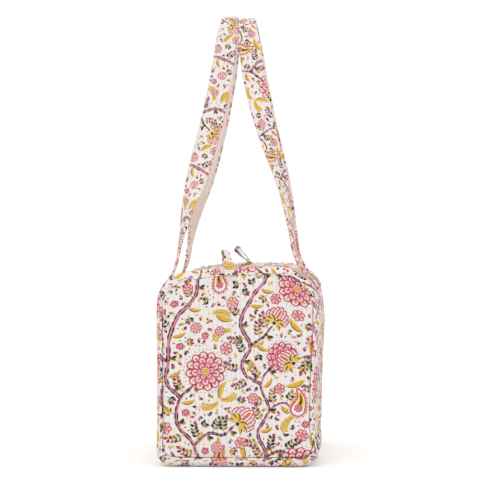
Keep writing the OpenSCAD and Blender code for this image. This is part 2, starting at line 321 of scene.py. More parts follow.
def bloom(at, r, spin):
    """A large open flower with three rings of round petals."""
    rings = ((12, 0.45, 0.80, 0.19), (9, 0.26, 0.54, 0.19), (6, 0.12, 0.30, 0.15))
    for ring, (n, inner, outer, fat) in enumerate(rings):
        for i in range(n):
            a = spin + 360 * (i + 0.5 * ring) / n
            petal = ray(at, a, inner * r, outer * r)
            radii = np.array([fat * 0.62, fat]) * r
            wipe(petal, radii + 0.5)
            dab("rose", petal, radii - 0.35, 1.6)
            dab("pink", petal, radii * (0.5 if ring else 0.34))
            for s in (-20, 20):
                dab("rose", ray(at, a + s * fat, (inner + 0.08) * r, (outer + 0.02) * r), [0.55, 0.2])
            dab("dark", ray(at, a + 180 / n, (outer - 0.02) * r, (outer + 0.13) * r), [0.9, 0.4])
            if ring < 2:
                dab("mustard" if i % 2 else "orange", [polar(at, a, outer * 0.95 * r)], 0.05 * r)
    for i in range(36):
        dab("dark" if i % 3 else "rose", ray(at, spin + 10 * i, 1.06 * r, 1.14 * r), [0.45, 0.25])
    wipe([at], 0.16 * r)
    dab("mustard", [at], 0.15 * r)
    for i in range(7):
        dab("ochre", [polar(at, 51.4 * i, 0.08 * r)], 0.5)


def bell(at, angle, size):
    """A flower seen from its side: pointed petals over mustard sepals."""
    for spread in (-58, 58, -36, 36, -16, 16, 0):
        mid = turn(bow(27 - abs(spread) * 0.1, spread * 0.06, 9), at, angle + spread * 0.8, size)
        radii = swell(9, 10.5 * size, 0.55)
        wipe(mid, radii + 0.5)
        dab("rose", mid, radii - 0.4, 1.5)
        dab("pink", mid[1:-2], radii[1:-2] * 0.42)
        dab("rose", mid[1:-3], 0.45)
        if abs(spread) < 20:
            dab("mustard" if spread else "orange", mid[2:-2], radii[2:-2] * 0.36)
    for s in (-1, 1):
        for turned, length in ((118, 14), (84, 17), (52, 15)):
            way = angle + s * turned
            stamp("mustard", turn(bow(length, -s * 2.4, 7), at, way, size), swell(7, 5.8 * size, 0.4))
            dab("olive", turn(bow(length, -s * 3.8, 7), at, way, size)[1:], [0.4, 0.8, 0.9, 0.8, 0.5, 0.2])
    wipe([at], 3.4 * size)
    dab("olive", [at], 2.7 * size)


def boteh(at, angle, size, hand):
    """A curled drop in the old traditional form, with a scalloped edge."""
    t = np.linspace(0, 1, 15)
    pts = turn(np.stack([26 * t, hand * 25 * np.maximum(t - 0.42, 0) ** 1.6], 1), at, angle, size)
    radii = size * 8.6 * np.sqrt(np.clip(1 - t, 0, 1)) * (0.86 + 0.14 * np.cos(3 * t)) + 0.5
    wipe(pts, radii + 3.0)
    left = steps_and_left(pts)[1]
    edge = [polar(at, angle + 90 + 18 * i, radii[0] + 1.9) for i in range(11)]
    for s in (-1, 1):
        edge += list(pts[1:13] + left[1:13] * (s * (radii[1:13] + 1.9))[:, None])
    for i, p in enumerate(edge):
        dab("mustard" if i % 2 else "rose", [p], 1.1 * size)
    dab("rose", pts, radii - 0.4, 1.7)
    dab("mustard", pts[1:-3], radii[1:-3] * 0.55)
    dab("olive", pts[2:-4], radii[2:-4] * 0.22)
    floret(pts[1], 4.8 * size, 6, 15)


def room(at):
    """Distance from a place on the tile to the nearest ink."""
    iy, ix = int(round(at[1] / STEP)) % NY, int(round(at[0] / STEP)) % NX
    return min(f[iy, ix] for f in ink.values())


# The layout: winding branches with leaves along them, large flowers at their ends, small sprigs in between.
# A branch has its points and its two radii; the other motifs have their place, direction, size and bend
BRANCHES = (
    ([(20, -8), (40, 16), (38, 46), (18, 74), (22, 106), (44, 128)], 2.0, 1.1),
    ([(38, 46), (56, 62), (74, 60), (88, 72)], 1.5, 0.9),
    ([(22, 106), (6, 126), (8, 152), (10, 186), (20, 216)], 1.7, 2.0),
    ([(8, 152), (-10, 160), (-24, 152)], 1.3, 0.9),
    ([(112, 10), (128, 34), (118, 62), (132, 92), (122, 124), (138, 150)], 1.9, 1.0),
    ([(128, 34), (146, 40), (158, 32)], 1.4, 0.9),
    ([(122, 124), (104, 134), (98, 150), (108, 172), (96, 200), (112, 234)], 1.4, 1.9),
    ([(132, 92), (150, 100), (164, 94)], 1.2, 0.8),
    ([(108, 172), (124, 182), (136, 196)], 1.2, 0.8),
)
BLOOMS = (((52, 140), 25, 8), ((166, 22), 23, 20), ((148, 158), 19, 0))
BELLS = (((92, 74), 40, 1.0), ((-26, 150), 150, 0.85), ((138, 200), 60, 0.85))
BOTEHS = (((168, 92), 70, 0.95, 1), ((70, 22), 100, 0.9, -1))
FERNS = (
    ((60, 178), 30, 1.0, 3.5), ((44, 96), 10, 0.9, -3.5), ((92, 112), 200, 0.85, 3.5),
    ((150, 62), 60, 0.95, 3.5), ((84, 206), 160, 0.9, -3), ((4, 40), 120, 0.85, 3),
)
BLADES = (
    ((70, 104), 70, 1.0, 3.4), ((100, 28), 110, 0.95, -3), ((176, 130), 200, 1.0, 3),
    ((64, 212), 340, 1.0, -3.2), ((10, 86), 150, 0.85, -3), ((172, 190), 130, 0.95, 3),
)
FLORETS = (
    ((4, 68), 8.0), ((66, 44), 7.2), ((96, 50), 7.6), ((112, 106), 6.8), ((78, 168), 8.0),
    ((40, 196), 7.2), ((172, 60), 7.4), ((184, 182), 7.0), ((146, 118), 7.0), ((86, 0), 7.6),
    ((140, 6), 6.8), ((70, 190), 6.2), ((166, 212), 7.4), ((30, 24), 6.4),
)
TONES = (("olive", "mustard"), ("olive", "mauve"), ("olive", "olive"), ("mustard", "rose"))
# Random places that are tried for small motifs, and the room and the first try of each kind
TRIES, SPRIG_ROOM = 5200, 6.8
LEAF_ROOM, LEAF_FROM = 3.9, 1400
DOT_ROOM, DOT_FROM = 2.9, 3200


def branch(number, points, r0, r1):
    """A vine with leaves and twigs to both sides."""
    pts, step = vine(points, r0, r1)
    for i in range(5, len(pts) - 5, 6):
        hand = 1 if (i // 6 + number) % 2 else -1
        way = math.degrees(math.atan2(step[i, 1], step[i, 0])) + hand * 58
        kind = (i // 6 + number) % 4
        if kind == 0:
            blade(polar(pts[i], way, 2.2), way, 0.72, 3.0 * hand)
        elif kind in (1, 3):
            twig(polar(pts[i], way, 2.0), way, 3 + i % 2, TONES[(i + number) % 4], 0.9, 3.0 * hand)
        else:
            leaf("olive", polar(pts[i], way, 2.4), way, 8.5, 4.0, hand)
            leaf("mustard", polar(pts[i], way, 2.4), way + 42 * hand, 8, 3.4, hand)


def sprig(trial, at, a):
    """One of the small motifs that fill a wide gap."""
    pick = int(dice.integers(0, 4))
    if pick < 2:
        twig(polar(at, a + 180, 6.5), a, 2, TONES[trial % 4], 0.85, 1.0, trial % 3 > 0)
    elif pick == 2:
        floret(at, 4.6, 5, a, "mustard")
    else:
        bud(at, a, 0.8)
        for s in (-1, 1):
            leaf("mustard", polar(at, a + 180, 2.6), a + 180 + s * 48, 5.2, 2.7, 0.5)


for number, (points, r0, r1) in enumerate(BRANCHES):
    branch(number, points, r0, r1)
for motif, places in ((bloom, BLOOMS), (bell, BELLS), (boteh, BOTEHS), (fern, FERNS), (blade, BLADES)):
    for place in places:
        motif(*place)
for i, (at, r) in enumerate(FLORETS):
    floret(at, r, 6 + i % 2, float(dice.uniform(0, 60)), ("orange", "mustard")[i % 2])
for trial in range(TRIES):
    at, a = (dice.uniform(0, TILE_W), dice.uniform(0, TILE_H)), dice.uniform(0, 360)
    gap = room(at)
    if gap > SPRIG_ROOM:
        sprig(trial, at, a)
    elif gap > LEAF_ROOM and trial > LEAF_FROM:
        root = polar(at, a + 180, 2.3)
        tone = ("olive", "mustard", "olive", "mauve", "rose")[trial % 5]
        leaf(tone, root, a, 6.0, 3.4, 0.5, None if trial % 2 else "dark")
        leaf(("mustard", "olive", "mauve")[trial % 3], root, a + 66, 4.6, 2.6, 0.5, None)
    elif gap > DOT_ROOM and trial > DOT_FROM:
        dab(("rose", "mustard", "olive", "dark")[trial % 4], [at, polar(at, a, 1.6)], [0.85, 0.45])


def cloth_fields(u, v, quilt, along, inside=0.0):
    """What the printed cloth's material reads: ink distances, the place on the cloth and the quilting."""
    fx, fy = np.mod(u / STEP, NX), np.mod(v / STEP, NY)
    ix, iy = np.floor(fx).astype(int) % NX, np.floor(fy).astype(int) % NY
    jx, jy = (ix + 1) % NX, (iy + 1) % NY
    tx, ty = fx - np.floor(fx), fy - np.floor(fy)
    fields = {}
    for key, names in INK_SETS.items():
        found = []
        for f in (ink[name] for name in names):
            low = f[iy, ix] * (1 - tx) + f[iy, jx] * tx
            high = f[jy, ix] * (1 - tx) + f[jy, jx] * tx
            found.append(low * (1 - ty) + high * ty)
        fields[key] = np.clip(np.stack(found, -1), -BARE, BARE)
    return fields | {"cloth": vec(u, v, 0), "quilt": vec(quilt, along, inside)}


# Materials
def lin(code):
    """Linear colour of a hexadecimal code."""
    c = [int(code[i:i + 2], 16) / 255 for i in (0, 2, 4)]
    return tuple(x / 12.92 if x <= 0.04045 else ((x + 0.055) / 1.055) ** 2.4 for x in c) + (1.0,)


def add_node(tree, kind, inputs=None, **props):
    """A shader node with its inputs linked or set."""
    node = tree.nodes.new("ShaderNode" + kind)
    for key, value in props.items():
        setattr(node, key, value)
    for key, value in (inputs or {}).items():
        if isinstance(value, bpy.types.NodeSocket):
            tree.links.new(value, node.inputs[key])
        else:
            node.inputs[key].default_value = value
    return node


class Paint:
    """One node material under construction."""

    def __init__(self, name, rough, sheen=0.0, metal=0.0, specular=0.25):
        self.material = bpy.data.materials.new(name)
        self.material.use_nodes = True
        self.tree = self.material.node_tree
        self.bsdf = self.tree.nodes["Principled BSDF"]
        levels = {"Roughness": rough, "Metallic": metal, "Specular IOR Level": specular,
                  "Sheen Weight": sheen, "Sheen Roughness": 0.6}
        for key, level in levels.items():
            self.bsdf.inputs[key].default_value = level

    def add(self, kind, inputs=None, **props):
        return add_node(self.tree, kind, inputs, **props)

    def calc(self, op, a, b=0.0, c=0.0):
        return self.add("Math", {0: a, 1: b, 2: c}, operation=op).outputs[0]

    def times(self, a, b):
        return self.calc("MULTIPLY", a, b)

    def ramp(self, value, lo, hi, out_lo=0.0, out_hi=1.0):
        inputs = {0: value, 1: lo, 2: hi, 3: out_lo, 4: out_hi}
        return self.add("MapRange", inputs, interpolation_type="SMOOTHSTEP").outputs[0]

    def field(self, name):
        return self.add("Attribute", attribute_name=name).outputs["Vector"]

    def place(self):
        return self.add("TexCoord").outputs["Object"]

    def split(self, vector):
        return self.add("SeparateXYZ", {0: vector}).outputs[:3]

    def grain(self, vector, scale, detail, rough=0.5):
        inputs = {"Vector": vector, "Scale": scale, "Detail": detail, "Roughness": rough}
        return self.add("TexNoise", inputs).outputs[0]

    def mix(self, fac, a, b, blend="MIX"):
        return self.add("Mix", {0: fac, 6: a, 7: b}, data_type="RGBA", blend_type=blend).outputs[2]

    def slub(self, cloth, stretch, detail, lo, hi):
        """Thick and thin threads: noise drawn out along them."""
        drawn = self.add("VectorMath", {0: cloth, 1: stretch}, operation="MULTIPLY").outputs[0]
        return self.ramp(self.grain(drawn, 1.0, detail), lo, hi)

    def weave(self, cloth, pitch):
        """Plain weave: threads over and under each other, between 0 and 1."""
        u, v, _ = self.split(cloth)
        k = 2 * math.pi / pitch
        a = self.calc("SINE", self.times(u, k))
        b = self.calc("SINE", self.times(v, k))
        return self.calc("MULTIPLY_ADD", self.times(a, b), 0.5, 0.5)

    def out(self, colour, height, depth, strength, rough=None):
        self.tree.links.new(colour, self.bsdf.inputs["Base Color"])
        if rough is not None:
            self.tree.links.new(rough, self.bsdf.inputs["Roughness"])
        bump = self.add("Bump", {"Height": height, "Distance": depth, "Strength": strength})
        self.tree.links.new(bump.outputs[0], self.bsdf.inputs["Normal"])
        return self.material


GROUND, GROUND_SLUB = "F9F3F0", "EBE3DE"
STRAP_INSIDE, INSIDE_SLUB = "FDEEE5", "F0D8CB"
# Colour of the painted shade along the quilting's sewn lines, and of the quilting thread
VALLEY_SHADE, QUILT_THREAD = "A8988F", "F1ECE8"
# Half the width of an ink's soft edge, and the length of a quilting stitch with its gap
INK_EDGE, STITCH_PITCH = 0.34, 2.9


def printed(name, inside=None):
    """Quilted cotton, block-printed in inks with soft uneven edges on a slubby weave, with white thread and
    painted shade along the quilting's sewn lines.
    """
    m = Paint(name, 0.88, 0.04, specular=0.2)
    cloth = m.field("cloth")
    line, along, flag = m.split(m.field("quilt"))
    bleed = m.calc("MULTIPLY_ADD", m.grain(cloth, 0.55, 3.0, 0.6), 0.9, -0.45)
    dry = m.ramp(m.grain(cloth, 1.7, 2.0), 0.28, 0.42, 0.94, 1.0)
    body = m.ramp(m.grain(cloth, 0.06, 3.0), 0.3, 0.7, 0.965, 1.0)
    slub = m.slub(cloth, (1.4, 0.12, 1.0), 2.0, 0.35, 0.7)
    colour = m.mix(m.times(slub, 0.35), lin(GROUND), lin(GROUND_SLUB))
    if inside:
        colour = m.mix(flag, colour, m.mix(m.times(slub, 0.5), lin(inside), lin(INSIDE_SLUB)))
    for key, names in INK_SETS.items():
        for d, k in zip(m.split(m.field(key)), names):
            cover = m.ramp(m.calc("ADD", d, bleed), INK_EDGE, -INK_EDGE)
            colour = m.mix(m.times(m.times(cover, body), dry), colour, lin(INKS[k]))
    # Painted shade: the cloth is darkened towards each sewn line of the quilting, where the channels sink
    # into shade
    valley_shade = m.ramp(line, 0.0, 1.3, 1.0, 0.0)
    colour = m.mix(m.times(valley_shade, 0.13), colour, lin(VALLEY_SHADE), "MULTIPLY")
    phase = m.calc("FRACT", m.times(along, 1 / STITCH_PITCH))
    dash = m.ramp(m.calc("ABSOLUTE", m.calc("SUBTRACT", phase, 0.5)), 0.30, 0.36, 1.0, 0.0)
    thread = m.times(dash, m.ramp(line, 0.18, 0.36, 1.0, 0.0))
    colour = m.mix(m.times(thread, 0.55), colour, lin(QUILT_THREAD))
    height = m.calc("MULTIPLY_ADD", m.weave(cloth, 0.62), 0.22, m.times(thread, 0.7))
    height = m.calc("MULTIPLY_ADD", m.grain(cloth, 0.9, 3.0), 0.5, height)
    return m.out(colour, height, 0.00035, 0.55)


def plain_cloth(name, base, dark, pitch=0.6):
    """Plain woven cotton with slubs and uneven tone."""
    m = Paint(name, 0.9, 0.1, specular=0.2)
    cloth = m.field("cloth")
    weave = m.weave(cloth, pitch)
    slub = m.slub(cloth, (1.2, 0.1, 1.0), 3.0, 0.3, 0.75)
    colour = m.mix(m.times(slub, 0.6), lin(base), lin(dark))
    colour = m.mix(m.times(m.grain(cloth, 0.03, 3.0), 0.3), colour, lin(dark))
    colour = m.mix(m.times(weave, 0.12), colour, lin(dark))
    return m.out(colour, m.calc("MULTIPLY_ADD", m.grain(cloth, 0.8, 2.0), 0.5, weave), 0.0002, 0.5)


def grained(m, tones, grain, bump, depth, strength):
    """A material with a fine grain in its colour and on its surface."""
    place = m.place()
    return m.out(m.mix(m.grain(place, *grain), *map(lin, tones)), m.grain(place, *bump), depth, strength)


def worn_brass():
    """Brass that is duller where it isn't rubbed."""
    m = Paint("zip_metal", 0.32, metal=1.0)
    place = m.place()
    worn = m.ramp(m.grain(place, 420, 4.0), 0.35, 0.68)
    rough = m.ramp(m.grain(place, 700, 3.0), 0.2, 0.8, 0.26, 0.5)
    return m.out(m.mix(worn, lin("B08D4C"), lin("D9C08A")), m.grain(place, 1900, 3.0), 0.00006, 0.35, rough)


PRINT = printed("print_cotton")
STRAP = printed("strap_cotton", STRAP_INSIDE)
LINING = plain_cloth("lining_cotton", "EBD8CE", "D9BFB2")
TAPE = plain_cloth("zip_tape", "E7DCCB", "C9B9A2", 0.9)
BINDING = plain_cloth("binding_cotton", "D98AA2", "B8637F")
THREAD = grained(Paint("thread", 0.8, 0.2), ("F0E6DC", "CDBBAE"), (900, 2.0), (2600, 1.0), 0.00008, 0.6)
TEETH = grained(Paint("zip_teeth", 0.38, specular=0.5), ("E9DDC9", "C8B596"),
                (260, 3.0), (1400, 2.0), 0.00005, 0.4)
METAL = worn_brass()


# Mesh makers. Everything is worked out in millimetres and stored in metres
def piece(name, verts, faces, fields, material):
    """A smooth mesh in the scene, with what its material reads stored at its points."""
    me = bpy.data.meshes.new(name)
    me.from_pydata((np.asarray(verts, float).reshape(-1, 3) * MM).tolist(), [], faces)
    me.polygons.foreach_set("use_smooth", np.ones(len(me.polygons), bool))
    for key, values in fields.items():
        layer = me.attributes.new(key, "FLOAT_VECTOR", "POINT")
        layer.data.foreach_set("vector", np.asarray(values, np.float32).ravel())
    me.update()
    ob = bpy.data.objects.new(name, me)
    ob.data.materials.append(material)
    scene.collection.objects.link(ob)
    return ob


def sew(name, made, material, slot, *nodes, body="bag", fold=None, fill=None):
    """A piece on one body, or, when it is given a fold, on no body. Its fill is not used."""
    ob = piece(name, *made, material)
    if nodes:
        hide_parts(*nodes)
    if fold:
        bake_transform(ob)
    else:
        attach(ob, body)
    return ob


def grid_faces(rows, cols, start=0, flip=False, closed=False):
    """Faces between rows of points, whose last column joins the first one if they are closed."""
    i, j = np.meshgrid(np.arange(rows - 1), np.arange(cols if closed else cols - 1), indexing="ij")
    k = (j + 1) % cols
    corners = [i * cols + j, i * cols + k, (i + 1) * cols + k, (i + 1) * cols + j]
    q = np.stack(corners, -1).reshape(-1, 4) + start
    return (q[:, ::-1] if flip else q).tolist()


def shell(p, depth, out, fields):
    """Closed solid under a grid of points with odd sides: its fine outside, coarser bare inside and edges."""
    rows, cols = p.shape[:2]
    n = unit(np.cross(np.gradient(p, axis=1), np.gradient(p, axis=0)))
    flip = (n * out).sum() < 0
    n = -n if flip else n
    back = (p - n * depth)[::2, ::2]
    b_rows, b_cols = back.shape[:2]
    count = rows * cols
    o = np.arange(count).reshape(rows, cols)
    b = np.arange(b_rows * b_cols).reshape(b_rows, b_cols) + count
    faces = grid_faces(rows, cols, 0, not flip) + grid_faces(b_rows, b_cols, count, flip)
    borders = ((o[0], b[0]), (o[:, -1], b[:, -1]), (o[-1, ::-1], b[-1, ::-1]), (o[::-1, 0], b[::-1, 0]))
    for outer, inner in ((a.tolist(), c.tolist()) for a, c in borders):
        for i in range(len(inner) - 1):
            p0, p1, p2 = outer[2 * i:2 * i + 3]
            q0, q1 = inner[i:i + 2]
            edge = [[p1, p0, q0], [p1, q0, q1], [p2, p1, q1]]
            faces += edge if flip else [e[::-1] for e in edge]
    back = back.reshape(-1, 3)
    whole = {}
    for key, f in fields.items():
        fill = np.full((len(back), 3), BARE if key.startswith("ink") else 2.0)
        whole[key] = np.concatenate([np.reshape(f, (-1, 3)), fill])
    return np.concatenate([p.reshape(-1, 3), back]), faces, whole


def joined(parts):
    """Several sets of points, faces and fields as one."""
    verts, faces, fields, n = [], [], {}, 0
    for v, f, g in parts:
        verts.append(np.reshape(v, (-1, 3)))
        faces += [[k + n for k in q] for q in f]
        for key in g:
            fields.setdefault(key, []).append(np.reshape(g[key], (-1, 3)))
        n += len(verts[-1])
    return np.concatenate(verts), faces, {k: np.concatenate(x) for k, x in fields.items()}


def tube_faces(rings, sides, closed=False):
    """Faces between rings of points, joined end to end or capped."""
    faces = grid_faces(rings, sides, 0, True, True)
    last = (rings - 1) * sides
    if closed:
        return faces + [[i, (i + 1) % sides, last + (i + 1) % sides, last + i] for i in range(sides)]
    return faces + [list(range(sides)), list(range(last, last + sides))[::-1]]


def faced(faces, ring, i, j, out):
    """Faces of a tube, turned over if the one at that ring and side looks inward."""
    inward = np.cross(ring[i + 1, j] - ring[i, j], ring[i, j + 1] - ring[i, j])
    return [q[::-1] for q in faces] if (inward * out).sum() > 0 else faces


# A stitch, the gap to the next one and the radius of the thread
STITCH, STITCH_GAP, THREAD_R = 2.7, 1.5, 0.42


def stitches(lines):
    """Short threads laid end to end along lines of points and outward directions."""
    parts = []
    ang = angles(6)[None, :, None]
    for pts, out in lines:
        run = run_along(pts)
        at = 0.5
        while at + STITCH < run[-1]:
            s = at + STITCH * np.array([0.0, 0.12, 0.5, 0.88, 1.0])
            c = sample(s, run, pts)
            o = unit(sample(s, run, out))
            side = unit(np.cross(unit(np.gradient(c, axis=0)), o))
            lift = np.array([-0.25, 0.1, 0.22, 0.1, -0.25])[:, None] * o
            r = np.array([0.35, 0.95, 1.0, 0.95, 0.35])[:, None, None] * THREAD_R
            ring = (c + lift)[:, None] + r * (np.cos(ang) * side[:, None] + np.sin(ang) * o[:, None])
            parts.append((ring, tube_faces(5, 6), {}))
            at += STITCH + STITCH_GAP
    return joined(parts)


# The bag's cross section, as a line that starts at the middle of the base and runs up the right side
RUNS = (HALF_W - FOOT, FOOT * math.pi / 2, SHOULDER_Z - FOOT, SHOULDER * math.pi / 2, TOP_HALF)
T_FOOT, T_SIDE, T_ARCH, T_TOP, T_END = np.cumsum(RUNS)
# The wall's rim, and the lip that turns from it into the end seam
RIM_TURN = RIM * math.pi / 2
LIP = 1.7
S_RIM = HALF_L - RIM
S_END = S_RIM + RIM_TURN + LIP * math.pi / 2 + 3.0


def section(t, inset=0.0):
    """Point and outward direction on the outline; a negative t is on the left."""
    side = np.where(t < 0, -1.0, 1.0)
    t = np.abs(t)
    a, b = (t - T_FOOT) / FOOT, (t - T_ARCH) / SHOULDER
    zero, one = np.zeros_like(t), np.ones_like(t)
    runs = [t < T_FOOT, t < T_SIDE, t < T_ARCH, t < T_TOP]
    x = [t, HALF_W - FOOT + FOOT * np.sin(a), HALF_W * one, TOP_HALF + SHOULDER * np.cos(b)]
    z = [zero, FOOT - FOOT * np.cos(a), FOOT + t - T_SIDE, SHOULDER_Z + SHOULDER * np.sin(b)]
    nx = np.select(runs, [zero, np.sin(a), one, np.cos(b)], 0.0)
    nz = np.select(runs, [-one, -np.cos(a), zero, np.sin(b)], 1.0)
    x, z = np.select(runs, x, T_END - t), np.select(runs, z, HIGH)
    return (x - nx * inset) * side, z - nz * inset, nx * side, nz


def rim_profile(s):
    """Place along Y and depth under the outline, as the wall rolls over its rim into the end seam."""
    side, s = np.sign(s), np.abs(s)
    e = s - S_RIM
    a = np.clip(e / RIM, 0, math.pi / 2)
    b = np.clip((e - RIM_TURN) / LIP, 0, math.pi / 2)
    c = np.maximum(e - RIM_TURN - LIP * math.pi / 2, 0)
    y = np.minimum(s, S_RIM) + RIM * np.sin(a) - LIP * (1 - np.cos(b)) - c
    depth = RIM * (1 - np.cos(a)) + LIP * np.sin(b)
    ny = np.where(b > 0, np.cos(b), np.sin(a))
    nn = np.where(b > 0, -np.sin(b), np.cos(a))
    return y * side, depth, ny * side, nn


# Height of a quilted channel and how much it varies, and of the gathers and creases beside its sewn lines
PUFF, PUFF_VARIES, GATHER, CREASE = 0.62, 0.2, 0.2, 0.1


def channel(s, seed):
    """Height of the quilting over its sewn lines, and distance to the nearest line."""
    k = np.floor(s / QUILT)
    f = s / QUILT - k
    puff = PUFF + PUFF_VARIES * lattice(k, k * 0 + 7, seed)
    return puff * np.sin(np.pi * f) ** 0.75, np.minimum(f, 1 - f) * QUILT


def pucker(s, t, seed):
    """Small gathers beside the sewn lines."""
    f = s / QUILT - np.floor(s / QUILT)
    near = 1 - np.minimum(f, 1 - f) * 2
    gathers = noise(t / 2.6 + 3.1 * np.floor(s / QUILT + 0.5), s / 40, seed + 5)
    return GATHER * near * gathers + CREASE * noise(s / 2.4, t / 2.2, seed + 6)


def grid_at(table, a, b):
    """Value of a coarse table of vectors at places given in rows and columns."""
    r, c = table.shape[:2]
    a, b = np.clip(a, 0, r - 1.001), np.clip(b, 0, c - 1.001)
    i, j = a.astype(int), b.astype(int)
    fa, fb = smooth(a - i)[..., None], smooth(b - j)[..., None]
    left = table[i, j] * (1 - fa) + table[i + 1, j] * fa
    right = table[i, j + 1] * (1 - fa) + table[i + 1, j + 1] * fa
    return left * (1 - fb) + right * fb


def end_grid(a, b, inset=INSET):
    """Place across and height on an end panel, from its shares of the width and of the height there."""
    low, high, w = max(FOOT - inset, 1.0), SHOULDER - inset, HALF_W - inset
    x = (2 * a - 1) * w
    d = np.clip(np.abs(x) - (w - low), 0, low)
    u = np.clip(np.abs(x) - (w - high), 0, high)
    bottom = inset + low - np.sqrt(low**2 - d**2)
    top = HIGH - inset - high + np.sqrt(high**2 - u**2)
    return x, bottom + (top - bottom) * b


# The empty shell swells and sags as cloth held at its seams, and the fine pieces then follow it. Its coarse
# grids are NS by NT points on the wall and NA by NB on an end. Moves stay under a cap, and FOOT_HOLD is how
# firmly the sewn feet of the straps are held
NS, NT, NA, NB = 53, 125, 27, 35
WALL_CAP, END_CAP, FOOT_HOLD, SWELL_FRAMES = 6.0, 7.0, 0.6, 24


def simulate(verts, faces, pins):
    """Moves of a light cloth shell under pressure, in millimetres; a point with a pin of 1 stays."""
    me = bpy.data.meshes.new("swell")
    me.from_pydata(verts.tolist(), [], faces)
    ob = bpy.data.objects.new("swell", me)
    scene.collection.objects.link(ob)
    group = ob.vertex_groups.new(name="hold")
    for level in (FOOT_HOLD, 1.0):
        group.add(np.nonzero(pins == level)[0].tolist(), level, "REPLACE")
    mod = ob.modifiers.new("cloth", "CLOTH")
    st = mod.settings
    st.quality, st.mass, st.air_damping = 6, 0.35, 2.0
    st.tension_stiffness = st.compression_stiffness = 30
    st.shear_stiffness, st.bending_stiffness = 12, 3.0
    st.vertex_group_mass = "hold"
    st.use_pressure, st.uniform_pressure_force = True, 3.0
    st.effector_weights.gravity = 0.25
    mod.collision_settings.use_collision = False
    mod.point_cache.frame_start, mod.point_cache.frame_end = 1, SWELL_FRAMES + 2
    for number in range(1, SWELL_FRAMES + 1):
        scene.frame_set(number)
    settled = ob.evaluated_get(bpy.context.evaluated_depsgraph_get())
    co = np.zeros(len(verts) * 3, np.float32)
    settled.to_mesh().vertices.foreach_get("co", co)
    settled.to_mesh_clear()
    scene.frame_set(1)
    bpy.data.objects.remove(ob)
    bpy.data.meshes.remove(me)
    return (co.reshape(-1, 3).astype(float) - verts) / MM


def softened(move, cap):
    """Moves kept under a cap and evened out between neighbours."""
    size = np.linalg.norm(move, axis=-1, keepdims=True)
    move = move * (cap * np.tanh(size / cap) / np.maximum(size, 1e-6))
    near = move[:-2, 1:-1] + move[2:, 1:-1] + move[1:-1, :-2] + move[1:-1, 2:]
    out = move.copy()
    out[1:-1, 1:-1] = 0.5 * move[1:-1, 1:-1] + 0.125 * near
    return out


def swell_tables():
    """Moves of the wall, and of the front and rear ends."""
    s, t = np.meshgrid(np.linspace(-S_RIM, S_RIM, NS), np.linspace(-T_END, T_END, NT), indexing="ij")
    x, z, nx, nz = section(t)
    a, b = spread((0, 1, NA), (0, 1, NB))
    ex, ez = end_grid(a, b)
    grids = [vec(x, s, z)] + [vec(ex, end * HALF_L, ez) for end, _ in ENDS]
    verts = np.concatenate([p.reshape(-1, 3) for p in grids]) * MM
    n0, n1 = NS * NT, NA * NB
    faces = grid_faces(NS, NT, 0, True) + grid_faces(NB, NA, n0) + grid_faces(NB, NA, n0 + n1, True)
    hold = np.zeros((NS, NT))
    hold[0] = hold[-1] = 1
    hold[np.abs(t) < T_FOOT + 6] = 1
    hold[np.abs(t) > T_END - 9] = 1
    sewn = (np.abs(t) > T_ARCH + 10) & (np.abs(t) < T_ARCH + 40)
    hold[(np.abs(np.abs(s) - FEET_GAP / 2) < 13) & sewn] = FOOT_HOLD
    rim = np.zeros((NB, NA))
    rim[0] = rim[-1] = rim[:, 0] = rim[:, -1] = 1
    move = simulate(verts, faces, np.concatenate([hold.ravel(), rim.ravel(), rim.ravel()]))
    wall, front, rear = np.split(move, [n0, n0 + n1])
    return (softened(wall.reshape(NS, NT, 3), WALL_CAP),
            [softened(part.reshape(NB, NA, 3), END_CAP) for part in (front, rear)])


WALL_MOVE, END_MOVE = swell_tables()


def wall_move(s, t):
    """Move of the wall at a place along it and round its section."""
    return grid_at(WALL_MOVE, (s + S_RIM) / (2 * S_RIM) * (NS - 1), (t + T_END) / (2 * T_END) * (NT - 1))


# How the empty bag slackens: its sides draw in low down, its end seams spread, its lower corners round off,
# its shoulders sink and its top rises at the ends of the zip
NARROW_LEFT, NARROW_RIGHT, END_SPREAD, TOP_RISE = 1.0, 5.0, 4.0, 1.8
END_CORNER, CORNER_LEFT, CORNER_RIGHT = 3.2, 0.4, 2.4
SUNK_LEFT, SUNK_RIGHT = 7.0, 6.5


def settle(p):
    """The slack of the standing bag: narrower low on the right, sunk shoulders, end seams pulled out."""
    q = p.copy()
    x, y, z = p[..., 0], p[..., 1], p[..., 2]
    side, out = np.sign(x), np.abs(x)
    inner = HALF_W - out
    kept = 1 - smooth((60 - y) / 200) * (1 - smooth((z - 22) / 30))
    narrow = np.where(x > 0, NARROW_RIGHT, NARROW_LEFT) * kept * smooth((190 - z) / 110)
    narrow = narrow * np.clip(out / HALF_W, 0, 1) ** 2
    face = smooth((np.abs(y) - 168) / 16)
    wider = END_SPREAD * face * smooth((z - 2) / 22) * smooth((240 - z) / 34)
    wider = wider * smooth((out - 55) / 36) * smooth((HALF_W + 1 - out) / 11)
    corner = END_CORNER * face * smooth(inner / 9) * smooth(1 - inner / 36)
    corner = corner * smooth(z / 9) * smooth(1 - z / 36)
    corner += np.where(x > 0, CORNER_RIGHT, CORNER_LEFT) * smooth(1 - inner / 28) * smooth(1 - z / 24)
    q[..., 0] += side * (wider - narrow - corner)
    sunk = SUNK_LEFT * smooth((-x - 10) / 80) + SUNK_RIGHT * smooth((x - 55) / 40)
    rise = TOP_RISE * smooth((np.abs(y) - 178) / 13) * np.exp(-((x - 8) / 38) ** 2)
    q[..., 2] += corner + (rise - sunk) * smooth((z - 130) / 90)
    return q


# Slack of the quilted cloth between its seams, broad and fine, on the walls and on the ends
WALL_SLACK, WALL_FINE, END_SLACK, END_FINE = 0.8, 0.45, 0.9, 0.45


